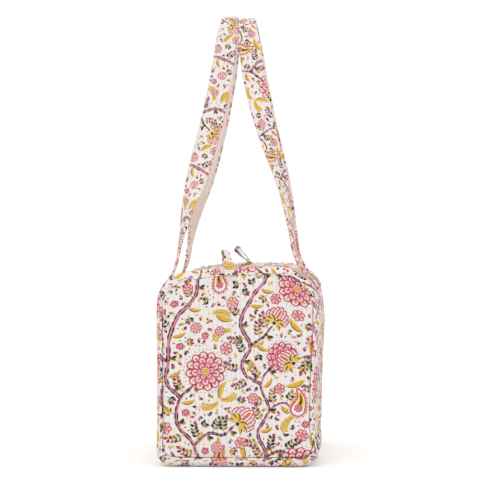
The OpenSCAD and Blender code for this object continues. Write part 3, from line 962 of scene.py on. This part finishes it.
def wrap(s, t, seed, relief=1.0, lift=0.0):
    """Point on the quilted wall that runs round the bag, raised by a lift, and distance to its sewn lines."""
    y, depth, ny, nn = rim_profile(s)
    x, z, nx, nz = section(t, depth)
    puff, line = channel(s, seed)
    rest = 1 - smooth((np.abs(t) - T_FOOT) / 14)
    slack = WALL_SLACK * noise(s / 38, t / 85, seed + 1) + WALL_FINE * noise(s / 13, t / 34, seed + 2)
    h = relief * (puff - 0.4 + pucker(s, t, seed) + slack * smooth((198 - np.abs(s)) / 30))
    h = lift + h + (np.minimum(h, 0.3 * relief * (puff - 0.8)) - h) * rest
    return settle(vec(x, y, z) + vec(nx * nn, ny, nz * nn) * h[..., None] + wall_move(s, t)), line


# How far cloth is drawn in at a seam, and the reach of that
SEAM_DIP, SEAM_REACH = 0.9, 1.6


def seam_dip(seam):
    """How far cloth is drawn in at a distance from a seam."""
    return SEAM_DIP * np.exp(-(seam / SEAM_REACH) ** 2)


# Thickness of the padded walls, ends and top
WALL_PAD, END_PAD, TOP_PAD = 3.4, 3.0, 3.2
# Where the print starts on the end panels, a shift of their channels, how deep their edges dip beside the
# piping and how much that varies, and the gathers there
PRINT_X, PRINT_Z, END_SHIFT = 92.0, 20.0, 2.1
EDGE_DIP, DIP_VARIES, EDGE_GATHER = 2.6, 1.4, 0.5

# Side walls, from the base seam up over the shoulder
for side, name in SIDES:
    s, t = spread((-S_END, S_END, 357), (side * T_SIDE, side * T_TOP, 191))
    p, line = wrap(s, t, 10 + side)
    p[..., 0] -= side * seam_dip(np.minimum(np.abs(t) - T_SIDE, T_TOP - np.abs(t)))
    made = shell(p, WALL_PAD, (side, 0, 0.3), cloth_fields(s + 37 * side, np.abs(t) - 60, line, t))
    sew(name + "_side_cloth", made, PRINT, "print_cotton", name + "_side_panel", fill=0.35)

# Base, with its rounded corners
s, t = spread((-S_END, S_END, 335), (-T_SIDE, T_SIDE, 141))
p, line = wrap(s, t, 31)
p[..., 0] -= np.sign(p[..., 0]) * seam_dip(T_SIDE - np.abs(t))
made = shell(p, WALL_PAD, -UP, cloth_fields(s + 90, t + 20, line, t))
sew("base_cloth", made, PRINT, "print_cotton", "base_panel", fill=0.25)


def end_edge(x, z):
    """Distance from a place on an end panel to its outline, up to 50 mm."""
    upper = z > HIGH / 2
    low, high = FOOT - INSET, SHOULDER - INSET
    r = np.where(upper, high, low)
    dx = np.abs(x) - (HALF_W - INSET - r)
    dz = (z - np.where(upper, HIGH - INSET - high, INSET + low)) * np.where(upper, 1, -1)
    corner = np.hypot(np.maximum(dx, 0), np.maximum(dz, 0))
    return np.clip(r - np.where((dx > 0) & (dz > 0), corner, np.maximum(dx, dz)), 0, 50)


# End panels, set inside the rim
for (end, name), table in zip(ENDS, END_MOVE):
    a, b = spread((0, 1, 255), (0, 1, 301))
    x, z = end_grid(a, b)
    edge = end_edge(x, z)
    puff, line = channel(x + END_SHIFT, 20 + end)
    slack = END_SLACK * noise(x / 30, z / 95, 51 + end) + END_FINE * noise(x / 11, z / 40, 52 + end)
    dip = EDGE_DIP + DIP_VARIES * noise((x + z) / 26, (x - z) / 26, 54)
    dip = dip * (1 - smooth((z - 190) / 35))
    gather = EDGE_GATHER * noise((x + z) / 5.5, (x - z) / 60, 53) * np.exp(-edge / 7)
    h = puff - 0.4 + pucker(x + END_SHIFT, z, 20 + end) + (slack + gather) * smooth(edge / 10)
    h = h - dip * round_over(edge, 3.2)
    swollen = grid_at(table, b * (NB - 1), a * (NA - 1)) * smooth(edge / 6)[..., None]
    p = vec(x, 0, z) + swollen
    p[..., 1] += end * (HALF_L - 0.5 + h)
    made = shell(settle(p), END_PAD, (0, end, 0), cloth_fields(x * -end + PRINT_X, z + PRINT_Z, line, z))
    sew(name + "_end_cloth", made, PRINT, "print_cotton", name + "_end_panel", fill=0.4)

# Piping in the end seams
PIPE_R, PIPE_SIDES, PIPE_IN = PIPING_D / 2, 12, RIM + 1.6
for end, name in ENDS:
    k = np.linspace(-T_END, T_END, 861)[:-1]
    x, z, nx, nz = section(k, PIPE_IN)
    pts = settle(vec(x, end * (HALF_L - 1.0), z))
    ang = angles(PIPE_SIDES)
    r = PIPE_R + 0.1 * noise(k / 4, k * 0, 61)[:, None]
    ring = pts[:, None] + (r * np.cos(ang))[..., None] * vec(nx, 0, nz)[:, None] + vec(0, r * np.sin(ang), 0)
    u, w = np.meshgrid(k * 0.7, ang * 1.5 + 55, indexing="ij")
    made = ring, tube_faces(len(k), PIPE_SIDES, True), cloth_fields(u, w, 2.0, u)
    sew(name + "_piping_cloth", made, PRINT, "piping_cloth", name + "_piping")


# Zip parts: inner edge of the tape, spacing and height of the teeth, and place and radius of their cord
TAPE_IN, TOOTH_PITCH, TOOTH_UP = 1.2, 3.0, 1.05
CORD_X, CORD_UP, CORD_R = 2.9, 0.9, 0.55
# Distance from the middle of the zip and radius at six places along a tooth
TOOTH = np.array([[3.2, 0.62], [2.3, 0.66], [1.7, 0.5], [1.1, 0.78], [0.72, 0.72], [0.45, 0.35]])


def tape_part(side, y0, y1, rows):
    """Woven tape beside the zip's teeth."""
    w, y = spread((TAPE_IN, TAPE_W, 15), (y0, y1, rows))
    z = UNDER_Z - 0.15 + 0.08 * np.sin(w * 1.9)
    return shell(vec(side * w, y, z), 0.7, UP, {"cloth": vec(w, y, z)})


def teeth_parts(side, y0, y1):
    """Moulded teeth on a cord, each with a waist and a rounded head."""
    lo, hi = min(y0, y1), max(y0, y1)
    ang = angles(8) + np.pi / 8
    faces = tube_faces(6, 8)
    if side > 0:
        faces = [q[::-1] for q in faces]
    count = int((hi - lo - TOOTH_PITCH / 2) / TOOTH_PITCH)
    start = (lo + hi) / 2 - TOOTH_PITCH / 2 * count + (0.0 if side < 0 else TOOTH_PITCH / 4) + 0.4
    r = TOOTH[:, 1:]
    tooth = vec(side * TOOTH[:, :1], r * np.cos(ang) * 1.05, UNDER_Z + TOOTH_UP + r * np.sin(ang) * 1.25)
    parts = []
    for i in range(count):
        ring = tooth + [0, start + TOOTH_PITCH * i, 0]
        parts.append((ring, faces, {"cloth": ring}))
    y = np.linspace(lo, hi, max(int((hi - lo) / 2.5), 3))[:, None]
    ring = vec(side * CORD_X + CORD_R * np.cos(ang), y, UNDER_Z + CORD_UP + CORD_R * np.sin(ang))
    return parts + [(ring, tube_faces(len(y), 8), {"cloth": ring})]


# Top of the bag: the fixed ends, and the two strips that fold up beside the zip. A strip has a rounded bead
# at its fold and is stitched STITCH_IN from its edge. FLAP_TURNED, further in, ends the line given as its
# fold
ZIP_HALF, BEAD, BEAD_R = ZIP_GAP / 2, 4.0, 2.0
STRIP_END, FLAP_TURNED, STITCH_IN = MOUTH - GAP, 62.0, 2.6


def top_patch(x, s, seed):
    """Part of the top between the shoulders, with its fields."""
    side = np.where(x < 0, -1.0, 1.0)
    t = side * (T_END - np.abs(x))
    p, line = wrap(s, t, seed, 0.9)
    return p, cloth_fields(s + 37 * side, np.abs(t) - 60, line, x)


def turn_under(p, d, depth=2.2, reach=2.4):
    """Lowers points near an edge, as cloth that is turned under there."""
    p[..., 2] -= depth * round_over(d, reach)


for end, name in ENDS:
    parts = []
    for side, _ in SIDES:
        x, s = spread((side * ZIP_HALF, side * TOP_HALF, 47), (end * MOUTH, end * S_RIM, 33))
        p, fields = top_patch(x, s, 10 + side)
        turn_under(p, np.abs(x) - ZIP_HALF)
        turn_under(p, TOP_HALF - np.abs(x), 1.0, 1.5)
        turn_under(p, np.abs(s) - MOUTH, 1.2, 1.6)
        parts.append(shell(p, TOP_PAD, UP, fields))
    x, s = spread((-TOP_HALF, TOP_HALF, 103), (end * S_RIM, end * S_END, 21))
    p, fields = top_patch(x, s, 10)
    turn_under(p, TOP_HALF - np.abs(x), 1.0, 1.5)
    parts.append(shell(p, TOP_PAD, (0, 0.6 * end, 1), fields))
    sew(name + "_top_cloth", joined(parts), PRINT, "print_cotton", name + "_top_end", fill=0.3)


def strip_half(side, name, end, half):
    """Front or rear half of a strip beside the zip, with its lining, tape, teeth and stitches."""
    fold = [(0, end * y * MM, HIGH * MM) for y in (MOUTH, FLAP_TURNED)]
    flap = {"body": name + "_flap", "fold": fold}
    cloth = name + "_strip_cloth_" + half
    w, s = spread((ZIP_HALF, FOLD_X + BEAD, 45), (0, end * STRIP_END, 159))
    p, fields = top_patch(side * np.minimum(w, FOLD_X), s, 10 + side)
    a = np.maximum(w - FOLD_X, 0) / BEAD_R
    p[..., 0] += side * BEAD_R * np.sin(a)
    p[..., 2] -= BEAD_R * (1 - np.cos(a))
    turn_under(p, w - ZIP_HALF)
    turn_under(p, STRIP_END - np.abs(s), 1.2, 1.6)
    sew(cloth, shell(p, END_PAD, UP, fields), PRINT, "print_cotton", name + "_top_strip", fill=0.3, **flap)

    w, s = spread((TAPE_W + 0.5, FOLD_X - 3.5, 15), (0, end * STRIP_END, 61))
    z = UNDER_Z - 0.4 + 0.25 * noise(w / 9, s / 22, 71) + wall_move(s, side * (T_END - w))[..., 2] - 0.5
    p = settle(vec(side * w, s, np.minimum(z, UNDER_Z - 0.3)))
    made = shell(p, 1.0, UP, {"cloth": p})
    ob = sew(name + "_strip_lining_" + half, made, LINING, "lining_cotton", name + "_strip_lining", **flap)

    made = tape_part(side, 0, end * STRIP_END, 61)
    sew(name + "_tape_" + half, made, TAPE, "zip_tape", name + "_zip_tape", **flap)
    made = joined(teeth_parts(side, 0, end * STRIP_END))
    sew(name + "_teeth_" + half, made, TEETH, "zip_teeth", name + "_zip_teeth", **flap)
    edge = vec(side * (ZIP_HALF + STITCH_IN), end * np.linspace(0.6, MOUTH - 2, 80), HIGH + 0.05)
    sew(name + "_strip_stitches_" + half, stitches([(edge, 0 * edge + UP)]), THREAD, "print_cotton", **flap)


for side, name in SIDES:
    for end, half in ENDS:
        strip_half(side, name, end, half)

corners = [(side, end) for side, _ in SIDES for end, _ in ENDS]
tails = [tape_part(side, end * MOUTH, end * S_RIM, 9) for side, end in corners]
sew("zip_tail_tape", joined(tails), TAPE, "zip_tape", "zip_tail_tapes")
tails = [part for side, end in corners for part in teeth_parts(side, end * MOUTH, end * (S_RIM - 3))]
sew("zip_tail_coil", joined(tails), TEETH, "zip_teeth", "zip_tail_teeth")


# Lining and pocket, which hang just inside the quilted walls
LINING_END, LINING_LIFT, END_LINING_Y = 181, -4.7, 184.2
POCKET_HALF, POCKET_LOW, POCKET_HIGH, POCKET_LIFT, POCKET_GAPE = 140, 60, 180, -7.6, 1.6


def lining_piece(name, t, seed):
    """Lining of a wall, over a range of places round the cross section."""
    s, t = np.meshgrid(np.linspace(-LINING_END, LINING_END, 91), t)
    p, _ = wrap(s, t, seed, 0.0, LINING_LIFT)
    _, _, nx, nz = section(t)
    p -= vec(nx, 0, nz) * (0.45 + 0.45 * noise(s / 26, t / 60, seed))[..., None]
    inward = [0, 0, HIGH / 2] - p[p.shape[0] // 2, p.shape[1] // 2]
    made = shell(p, 1.0, inward, {"cloth": vec(s, t, 0)})
    ob = sew(name + "_lining_cloth", made, LINING, "lining_cotton", name + "_lining")


for side, name in SIDES:
    lining_piece(name, side * np.linspace(T_SIDE + 0.3, T_TOP - 0.3, 75), 80 + side)
lining_piece("base", np.linspace(-T_SIDE, T_SIDE, 65), 83)

for (end, name), table in zip(ENDS, END_MOVE):
    a, b = spread((0, 1, 61), (0, 1, 75))
    x, z = end_grid(a, b, INSET + 1)
    p = vec(x, end * END_LINING_Y + 0.4 * noise(x / 24, z / 60, 85), z)
    p = settle(p + 0.8 * grid_at(table, b * (NB - 1), a * (NA - 1)))
    made = shell(p, -0.9, (0, -end, 0), {"cloth": vec(x, z, 0)})
    ob = sew(name + "_end_lining_cloth", made, LINING, "lining_cotton", name + "_end_lining")

# Slip pocket on the left lining
s, z = spread((-POCKET_HALF, POCKET_HALF, 85), (POCKET_LOW, POCKET_HIGH, 43))
p, _ = wrap(s, -(T_SIDE + z - FOOT), 90, 0.0, POCKET_LIFT)
gape = POCKET_GAPE * smooth((z - 90) / 80) * np.cos(np.pi * s / 290) ** 2
p[..., 0] += gape + 0.3 * noise(s / 20, z / 30, 91)
made = shell(p, 1.0, (1, 0, 0), {"cloth": vec(s, z, 0)})
ob = sew("pocket_cloth", made, LINING, "lining_cotton", "slip_pocket")

# Binding round the pocket's top edge
BINDING_SHAPE = np.array([[1.1, -3.5], [1.5, 0], [1.2, 3.2], [0.4, 4.4],
                          [-0.6, 4.4], [-1.3, 3.2], [-1.5, 0], [-1.1, -3.5]])
y = np.linspace(0, p.shape[1] - 1, 181)
rise = BINDING_SHAPE[:, 1] + 4.0 + 0.15 * noise(y / 3, y * 0, 92)[:, None]
ring = sample(y, np.arange(p.shape[1]), p[-1])[:, None] + vec(BINDING_SHAPE[:, 0], 0, rise)
made = ring, tube_faces(len(y), len(BINDING_SHAPE)), {"cloth": ring}
sew("pocket_binding_cloth", made, BINDING, "piping_cloth", "pocket_binding")


# Handles: flat quilted straps that stand up as arches, sewn over the shoulders at their feet
STRAP_HALF = STRAP_W / 2
# Points across a face of a strap, spacing along it, and half the width of its stitched box
STRAP_COLS, STRAP_STEP, BOX_HALF = 57, 1.25, 8.5
# Scale of the print on a strap, half its thickness, how much thinner its foot is, and the right one's bow
STRAP_PRINT, STRAP_THICK, FOOT_THINNER, RIGHT_BOW = 1.25, 1.75, 0.45, 1.8
# Quilting on its two faces, and how far below and above its fold line lie the two points given as its fold
STRAP_PUFF, BACK_PUFF, FOLD_BELOW, FOLD_ABOVE = 0.62, 0.3, 7, 24
# Degrees below a strap's fold where its sewn foot starts and ends, its height over the shoulder, and how far
# the curve between strap and foot keeps their directions
FOOT_FROM, FOOT_TO, FOOT_LIFT, FOLD_PULL = 16, 52, 2.2, 26


def foot_axis(side):
    """Place across and height of the line that a strap folds about."""
    a = math.radians(FOOT_ANGLE[side])
    return side * (TOP_HALF + FOOT_AXIS_R * math.cos(a)), SHOULDER_Z + FOOT_AXIS_R * math.sin(a)


def strap_line(u, side, end):
    """Middle of the strap, the direction across it and half its width, from top (u = 0) to foot (u = 1)."""
    foot_x, foot_z = foot_axis(side)
    top_x = CREST_MID + side * (CREST_W / 2 + 0.3)
    bend_z = CREST_Z - CREST_R - (CREST_DROP if side > 0 else 0)
    away = math.hypot(FEET_GAP / 2, bend_z - foot_z)
    tilt = math.acos(CREST_R / away) - math.atan2(bend_z - foot_z, FEET_GAP / 2)
    arc, leg = CREST_R * (math.pi / 2 - tilt), math.sqrt(away**2 - CREST_R**2)
    c = u * (arc + leg)
    ang = np.minimum(c / CREST_R, math.pi / 2 - tilt)
    k = np.maximum(c - arc, 0)
    y = CREST_R * np.sin(ang) + k * math.sin(tilt)
    z = bend_z + CREST_R * np.cos(ang) - k * math.cos(tilt)
    s = 1 - u
    e = s * s * (1 + EASE[side]) / (s + EASE[side])
    x = foot_x + (top_x - foot_x) * (1 - (1 - e) ** 1.8)
    x -= side * PULL_IN * smooth((u - 0.74) / 0.16)
    if side > 0:
        x += RIGHT_BOW * np.exp(-((u - 0.67) / 0.11) ** 2)
    turned = (LOW_TURN + (1 - LOW_TURN) * smooth((0.95 - u) / TWIST[side])) * math.pi / 2
    across = vec(np.sin(turned), -side * end * np.cos(turned), 0)
    return vec(x, end * y, z), across, (CREST_W + (STRAP_W - CREST_W) * smooth(u / 0.22)) / 2


def strap_route(side, end):
    """Half a strap: its middle line, directions across and out, half widths, lengths and free length."""
    p, w, half = strap_line(np.linspace(0, 0.93, 420), side, end)
    a = np.linspace(*(math.radians(FOOT_ANGLE[side] - below) for below in (FOOT_FROM, FOOT_TO)), 60)
    r = SHOULDER + FOOT_LIFT
    foot = vec(side * (TOP_HALF + r * np.cos(a)), end * FEET_GAP / 2, SHOULDER_Z + r * np.sin(a))
    d0, d1 = unit(p[-1] - p[-2]) * FOLD_PULL, unit(foot[1] - foot[0]) * FOLD_PULL
    t = np.linspace(0, 1, 42)[1:-1, None]
    fold = (2 * t**3 - 3 * t**2 + 1) * p[-1] + (t**3 - 2 * t**2 + t) * d0
    fold = fold + (3 * t**2 - 2 * t**3) * foot[0] + (t**3 - t**2) * d1
    flat = np.array([0, -side * end, 0.0])
    pts = np.concatenate([p, fold, foot])
    across = np.concatenate([w, w[-1] + (flat - w[-1]) * smooth(t), 0 * foot + flat])
    half = np.concatenate([half, np.full(len(fold) + len(foot), STRAP_HALF)])
    run = run_along(pts)
    at = np.linspace(0, run[-1], int(run[-1] / STRAP_STEP) | 1)
    pts, across, half = sample(at, run, pts), unit(sample(at, run, across)), np.interp(at, run, half)
    pts += (settle(pts) - pts) * smooth((300 - pts[:, 2]) / 45)[:, None]
    t = unit(np.gradient(pts, axis=0))
    across = unit(across - (across * t).sum(-1, keepdims=True) * t)
    out = unit(np.cross(t, across) * -end)
    return pts, across, out, half, at, run[-1] - np.linalg.norm(foot[0] - foot[-1])


def around(upper, right, lower, left):
    """What belongs to the two faces and the two edges of a strip, in the order of its rings."""
    right, left = (np.broadcast_to(edge, (len(upper), 1) + upper.shape[2:]) for edge in (right, left))
    return np.concatenate([upper, right, lower[:, ::-1], left], 1)


def box_lines(c, w, o, lift):
    """Lines of a box and a cross on a sewn foot: its middle line, directions across and out, and height."""
    lines = []
    for a, b in ((-1, -1), (1, 1), (-1, 1), (1, -1)):
        across = BOX_HALF * np.linspace(a, b, len(c))[:, None]
        lines.append((c + w * across + o * lift[:, None], o))
    across = BOX_HALF * np.linspace(-1, 1, 12)[:, None]
    for i in (0, -1):
        lines.append((c[i] + w[i] * across + o[i] * lift[i], 0 * across + o[i]))
    return lines


def half_strap(side, name, end, half):
    """Front or rear half of a strap, with the stitches on its sewn foot."""
    c, w, o, half_at, at, free = strap_route(side, end)
    g, along = np.meshgrid(np.linspace(-1, 1, STRAP_COLS) * (STRAP_HALF - 0.7), at)
    wide = half_at / STRAP_HALF * (1 + 0.02 * noise(at / 17, at * 0 + 9, 96 + side + 2 * end))
    thick = STRAP_THICK - FOOT_THINNER * smooth((at - free + 8) / 12)
    puff, line = channel(g + QUILT * 2, 97)
    puck = pucker(g + QUILT * 2, along, 98 + side)
    thin = 1.2 * np.clip((np.abs(g) - (STRAP_HALF - 2.0)) / 1.3, 0, 1) ** 2
    drape = 0.5 * noise(at / 24, at * 0 + side * 3, 95 + end)
    sag = (0.5 * (g / STRAP_HALF) ** 2 + drape[:, None]) * (1 - smooth((along - free + 12) / 12))

    def spot(across, lift):
        return c[:, None] + w[:, None] * (across * wide[:, None])[..., None] + o[:, None] * lift[..., None]

    upper = spot(g, thick[:, None] + STRAP_PUFF * puff - 0.2 + puck - thin - sag)
    lower = spot(g, -thick[:, None] - BACK_PUFF * puff + 0.1 - 0.5 * puck + thin - sag)
    one = np.ones((len(at), 1))
    ring = around(upper, spot(STRAP_HALF * one, -sag[:, -1:]), lower, spot(-STRAP_HALF * one, -sag[:, :1]))
    uu = STRAP_PRINT * around(g, STRAP_HALF + 1, STRAP_W + 3 - g, -STRAP_HALF - 1)
    vv = np.broadcast_to(at[:, None], ring.shape[:2])
    inside = around(0 * g, 0.4, 0 * g + 1, 0.4)
    fields = cloth_fields(STRAP_PRINT * vv * -end + 90 * side, uu + 153.5 - 41.5 * side,
                          around(line, 2, line, 2), vv, inside)
    bare = around(0 * g, 0, np.abs(g) < STRAP_HALF - 2.4, 0) > 0
    for key in INK_SETS:
        fields[key][bare] = BARE
    x, z = foot_axis(side)
    y = end * FEET_GAP / 2
    fold = np.array([(x, y, z - FOLD_BELOW), (x, y, z + FOLD_ABOVE)]) * MM
    made = ring, faced(tube_faces(*ring.shape[:2]), ring, 0, 0, o[0]), fields
    sew(name + "_strap_" + half, made, STRAP, "strap_cotton", name + "_handle", name + "_handle_feet",
        body=name + "_strap", fold=fold.tolist(), fill=0.5)

    sewn = np.nonzero(at > free + 1)[0][:-2]
    lines = box_lines(c[sewn], w[sewn], o[sewn], thick[sewn] + 0.25)
    sew(name + "_foot_stitches_" + half, stitches(lines), THREAD, "strap_cotton")


for side, name in SIDES:
    for end, half in ENDS:
        half_strap(side, name, end, half)

# Loop tabs at the two ends of the zip: half their width, the round at their top, and one side of their
# outline from the root up, by distance from the middle plane and height
TAB_HALF, TAB_TURN, TAB_TOP, TAB_RISE = 6.0, 2.75, 24.3, 2.9
TAB_SIDE = np.array([[-0.95, -2.0], [-1.0, 1.5], [-1.9, 7], [-2.6, 12.5], [-TAB_TURN, 18]])
REAR_LEAN = math.radians(45)


def tab(name, root, axes, seed, swing, taper=0.0, broad=1.0, tall=1.0):
    """Folded strip: up one side, over and down the other. axes are the across, through and up directions."""
    across, through, up = (unit(np.asarray(a, float)) for a in axes)
    a = np.linspace(math.pi, 0, 17)
    loop = np.stack([TAB_TURN * np.cos(a), TAB_TOP + TAB_RISE * np.sin(a)], -1)
    outline = np.concatenate([TAB_SIDE, loop, TAB_SIDE[::-1] * [-1, 1]])
    run = run_along(outline)
    at = np.linspace(0, run[-1], 81)
    q = sample(at, run, outline)
    d = unit(np.gradient(q, axis=0))
    nrm = np.stack([-d[:, 1], d[:, 0]], -1)
    g, along = spread((-5.6, 5.6, 25), (0, run[-1], 81))
    puff, line = channel(g + QUILT, seed)
    thin = np.clip(np.abs(g) - 4.6, 0, 1) ** 2
    high = 0.85 + 0.4 * puff + 0.1 * noise(g / 3, along / 4, seed) - 0.7 * thin
    low = -0.75 - 0.1 * puff + 0.45 * thin
    twist = (swing * smooth((q[:, 1] - 2) / 24))[:, None]
    slim = broad * (1 - taper * smooth((q[:, 1] - 6) / 20))[:, None]

    def spot(gx, lift):
        b = q[:, None] + nrm[:, None] * lift[..., None]
        x = slim * gx * np.cos(twist) - b[..., 0] * np.sin(twist)
        y = slim * gx * np.sin(twist) + b[..., 0] * np.cos(twist)
        return np.asarray(root) + x[..., None] * across + y[..., None] * through + tall * b[..., 1:2] * up

    zero = np.zeros((len(at), 1))
    ring = around(spot(g, high), spot(zero + TAB_HALF, zero), spot(g, low), spot(zero - TAB_HALF, zero))
    uu = around(g, TAB_HALF, 14 - g, -TAB_HALF)
    vv = np.broadcast_to(at[:, None], ring.shape[:2])
    faces = faced(tube_faces(*ring.shape[:2]), ring, len(at) // 2, 12, up)
    made = ring, faces, cloth_fields(uu + 13 * seed, vv + 21 * seed, around(line, 2, line, 2), vv)
    sew(name + "_tab_cloth", made, PRINT, "print_cotton", name + "_tab", body=name + "_loop", fill=0.3)


axes = ((1, 0, 0), (0, 1, 0), (-0.22, 0, 1))
tab("front", root=(-9.5, -192, 242.6), axes=axes, seed=4, swing=0.8, taper=0.35, broad=1.16, tall=1.1)
lean_x, lean_z = math.cos(REAR_LEAN), math.sin(REAR_LEAN)
axes = ((0, 1, 0), (lean_x, 0, lean_z), (-lean_z, 0, lean_x))
tab("rear", root=(0, 192, 251.6), axes=axes, seed=7, swing=0.3)

# Zip slider, pull and stops keep their own shapes and get worn metal
for key in ("zip_slider", "zip_pull", "zip_stops"):
    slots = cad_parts[key].data.materials
    slots.clear()
    slots.append(METAL)

# Stage: how far the floor is lifted to white, its shade in other light, the world's light, and soft lamps,
# each with its place, its softness in degrees and its power
FLOOR_LIFT, FLOOR_SHADE, WORLD_LIGHT = 0.17, 0.8, 0.74
LAMPS = (("key", (-0.8, -2.8, 2.8), 55.0, 0.62), ("fill", (2.4, -2.4, 1.5), 70.0, 0.16),
         ("top", (0.3, 0.5, 3.0), 80.0, 0.28))


def seen_as(tree, *kinds):
    """1 for light paths of these kinds, and 0 for others."""
    path = add_node(tree, "LightPath")
    found = path.outputs[kinds[0]]
    for kind in kinds[1:]:
        found = add_node(tree, "Math", {0: found, 1: path.outputs[kind]}, operation="MAXIMUM").outputs[0]
    return found


mesh = bpy.data.meshes.new("floor")
mesh.from_pydata([(-40, -40, 0), (40, -40, 0), (40, 40, 0), (-40, 40, 0)], [], [(0, 1, 2, 3)])
floor = bpy.data.objects.new("floor", mesh)
floor.location.z = -0.0008
scene.collection.objects.link(floor)
paint = bpy.data.materials.new("floor")
paint.use_nodes = True
tree = paint.node_tree
tree.nodes.clear()
seen = seen_as(tree, "Is Camera Ray", "Is Glossy Ray")
lift = add_node(tree, "Math", {0: seen, 1: FLOOR_LIFT}, operation="MULTIPLY")
shade = add_node(tree, "MapRange", {"Value": seen, "To Min": FLOOR_SHADE, "To Max": 1.0})
matt = add_node(tree, "BsdfDiffuse", {"Color": shade.outputs[0]})
glow = add_node(tree, "Emission", {"Strength": lift.outputs[0]})
both = add_node(tree, "AddShader", {0: matt.outputs[0], 1: glow.outputs[0]})
add_node(tree, "OutputMaterial", {"Surface": both.outputs[0]})
floor.data.materials.append(paint)

world = bpy.data.worlds.new("studio")
scene.world = world
world.use_nodes = True
tree = world.node_tree
seen = seen_as(tree, "Is Camera Ray", "Is Glossy Ray", "Is Transmission Ray")
level = add_node(tree, "MapRange", {"Value": seen, "To Min": WORLD_LIGHT, "To Max": 1.0})
back = tree.nodes["Background"]
back.inputs["Color"].default_value = (1, 1, 1, 1)
tree.links.new(level.outputs[0], back.inputs["Strength"])

for name, place, soft, power in LAMPS:
    lamp = bpy.data.lights.new(name, "SUN")
    lamp.angle, lamp.energy = math.radians(soft), power
    ob = bpy.data.objects.new(name, lamp)
    ob.location = place
    ob.rotation_euler = (-Vector(place)).to_track_quat("-Z", "Y").to_euler()
    scene.collection.objects.link(ob)

scene.view_settings.view_transform = "Standard"
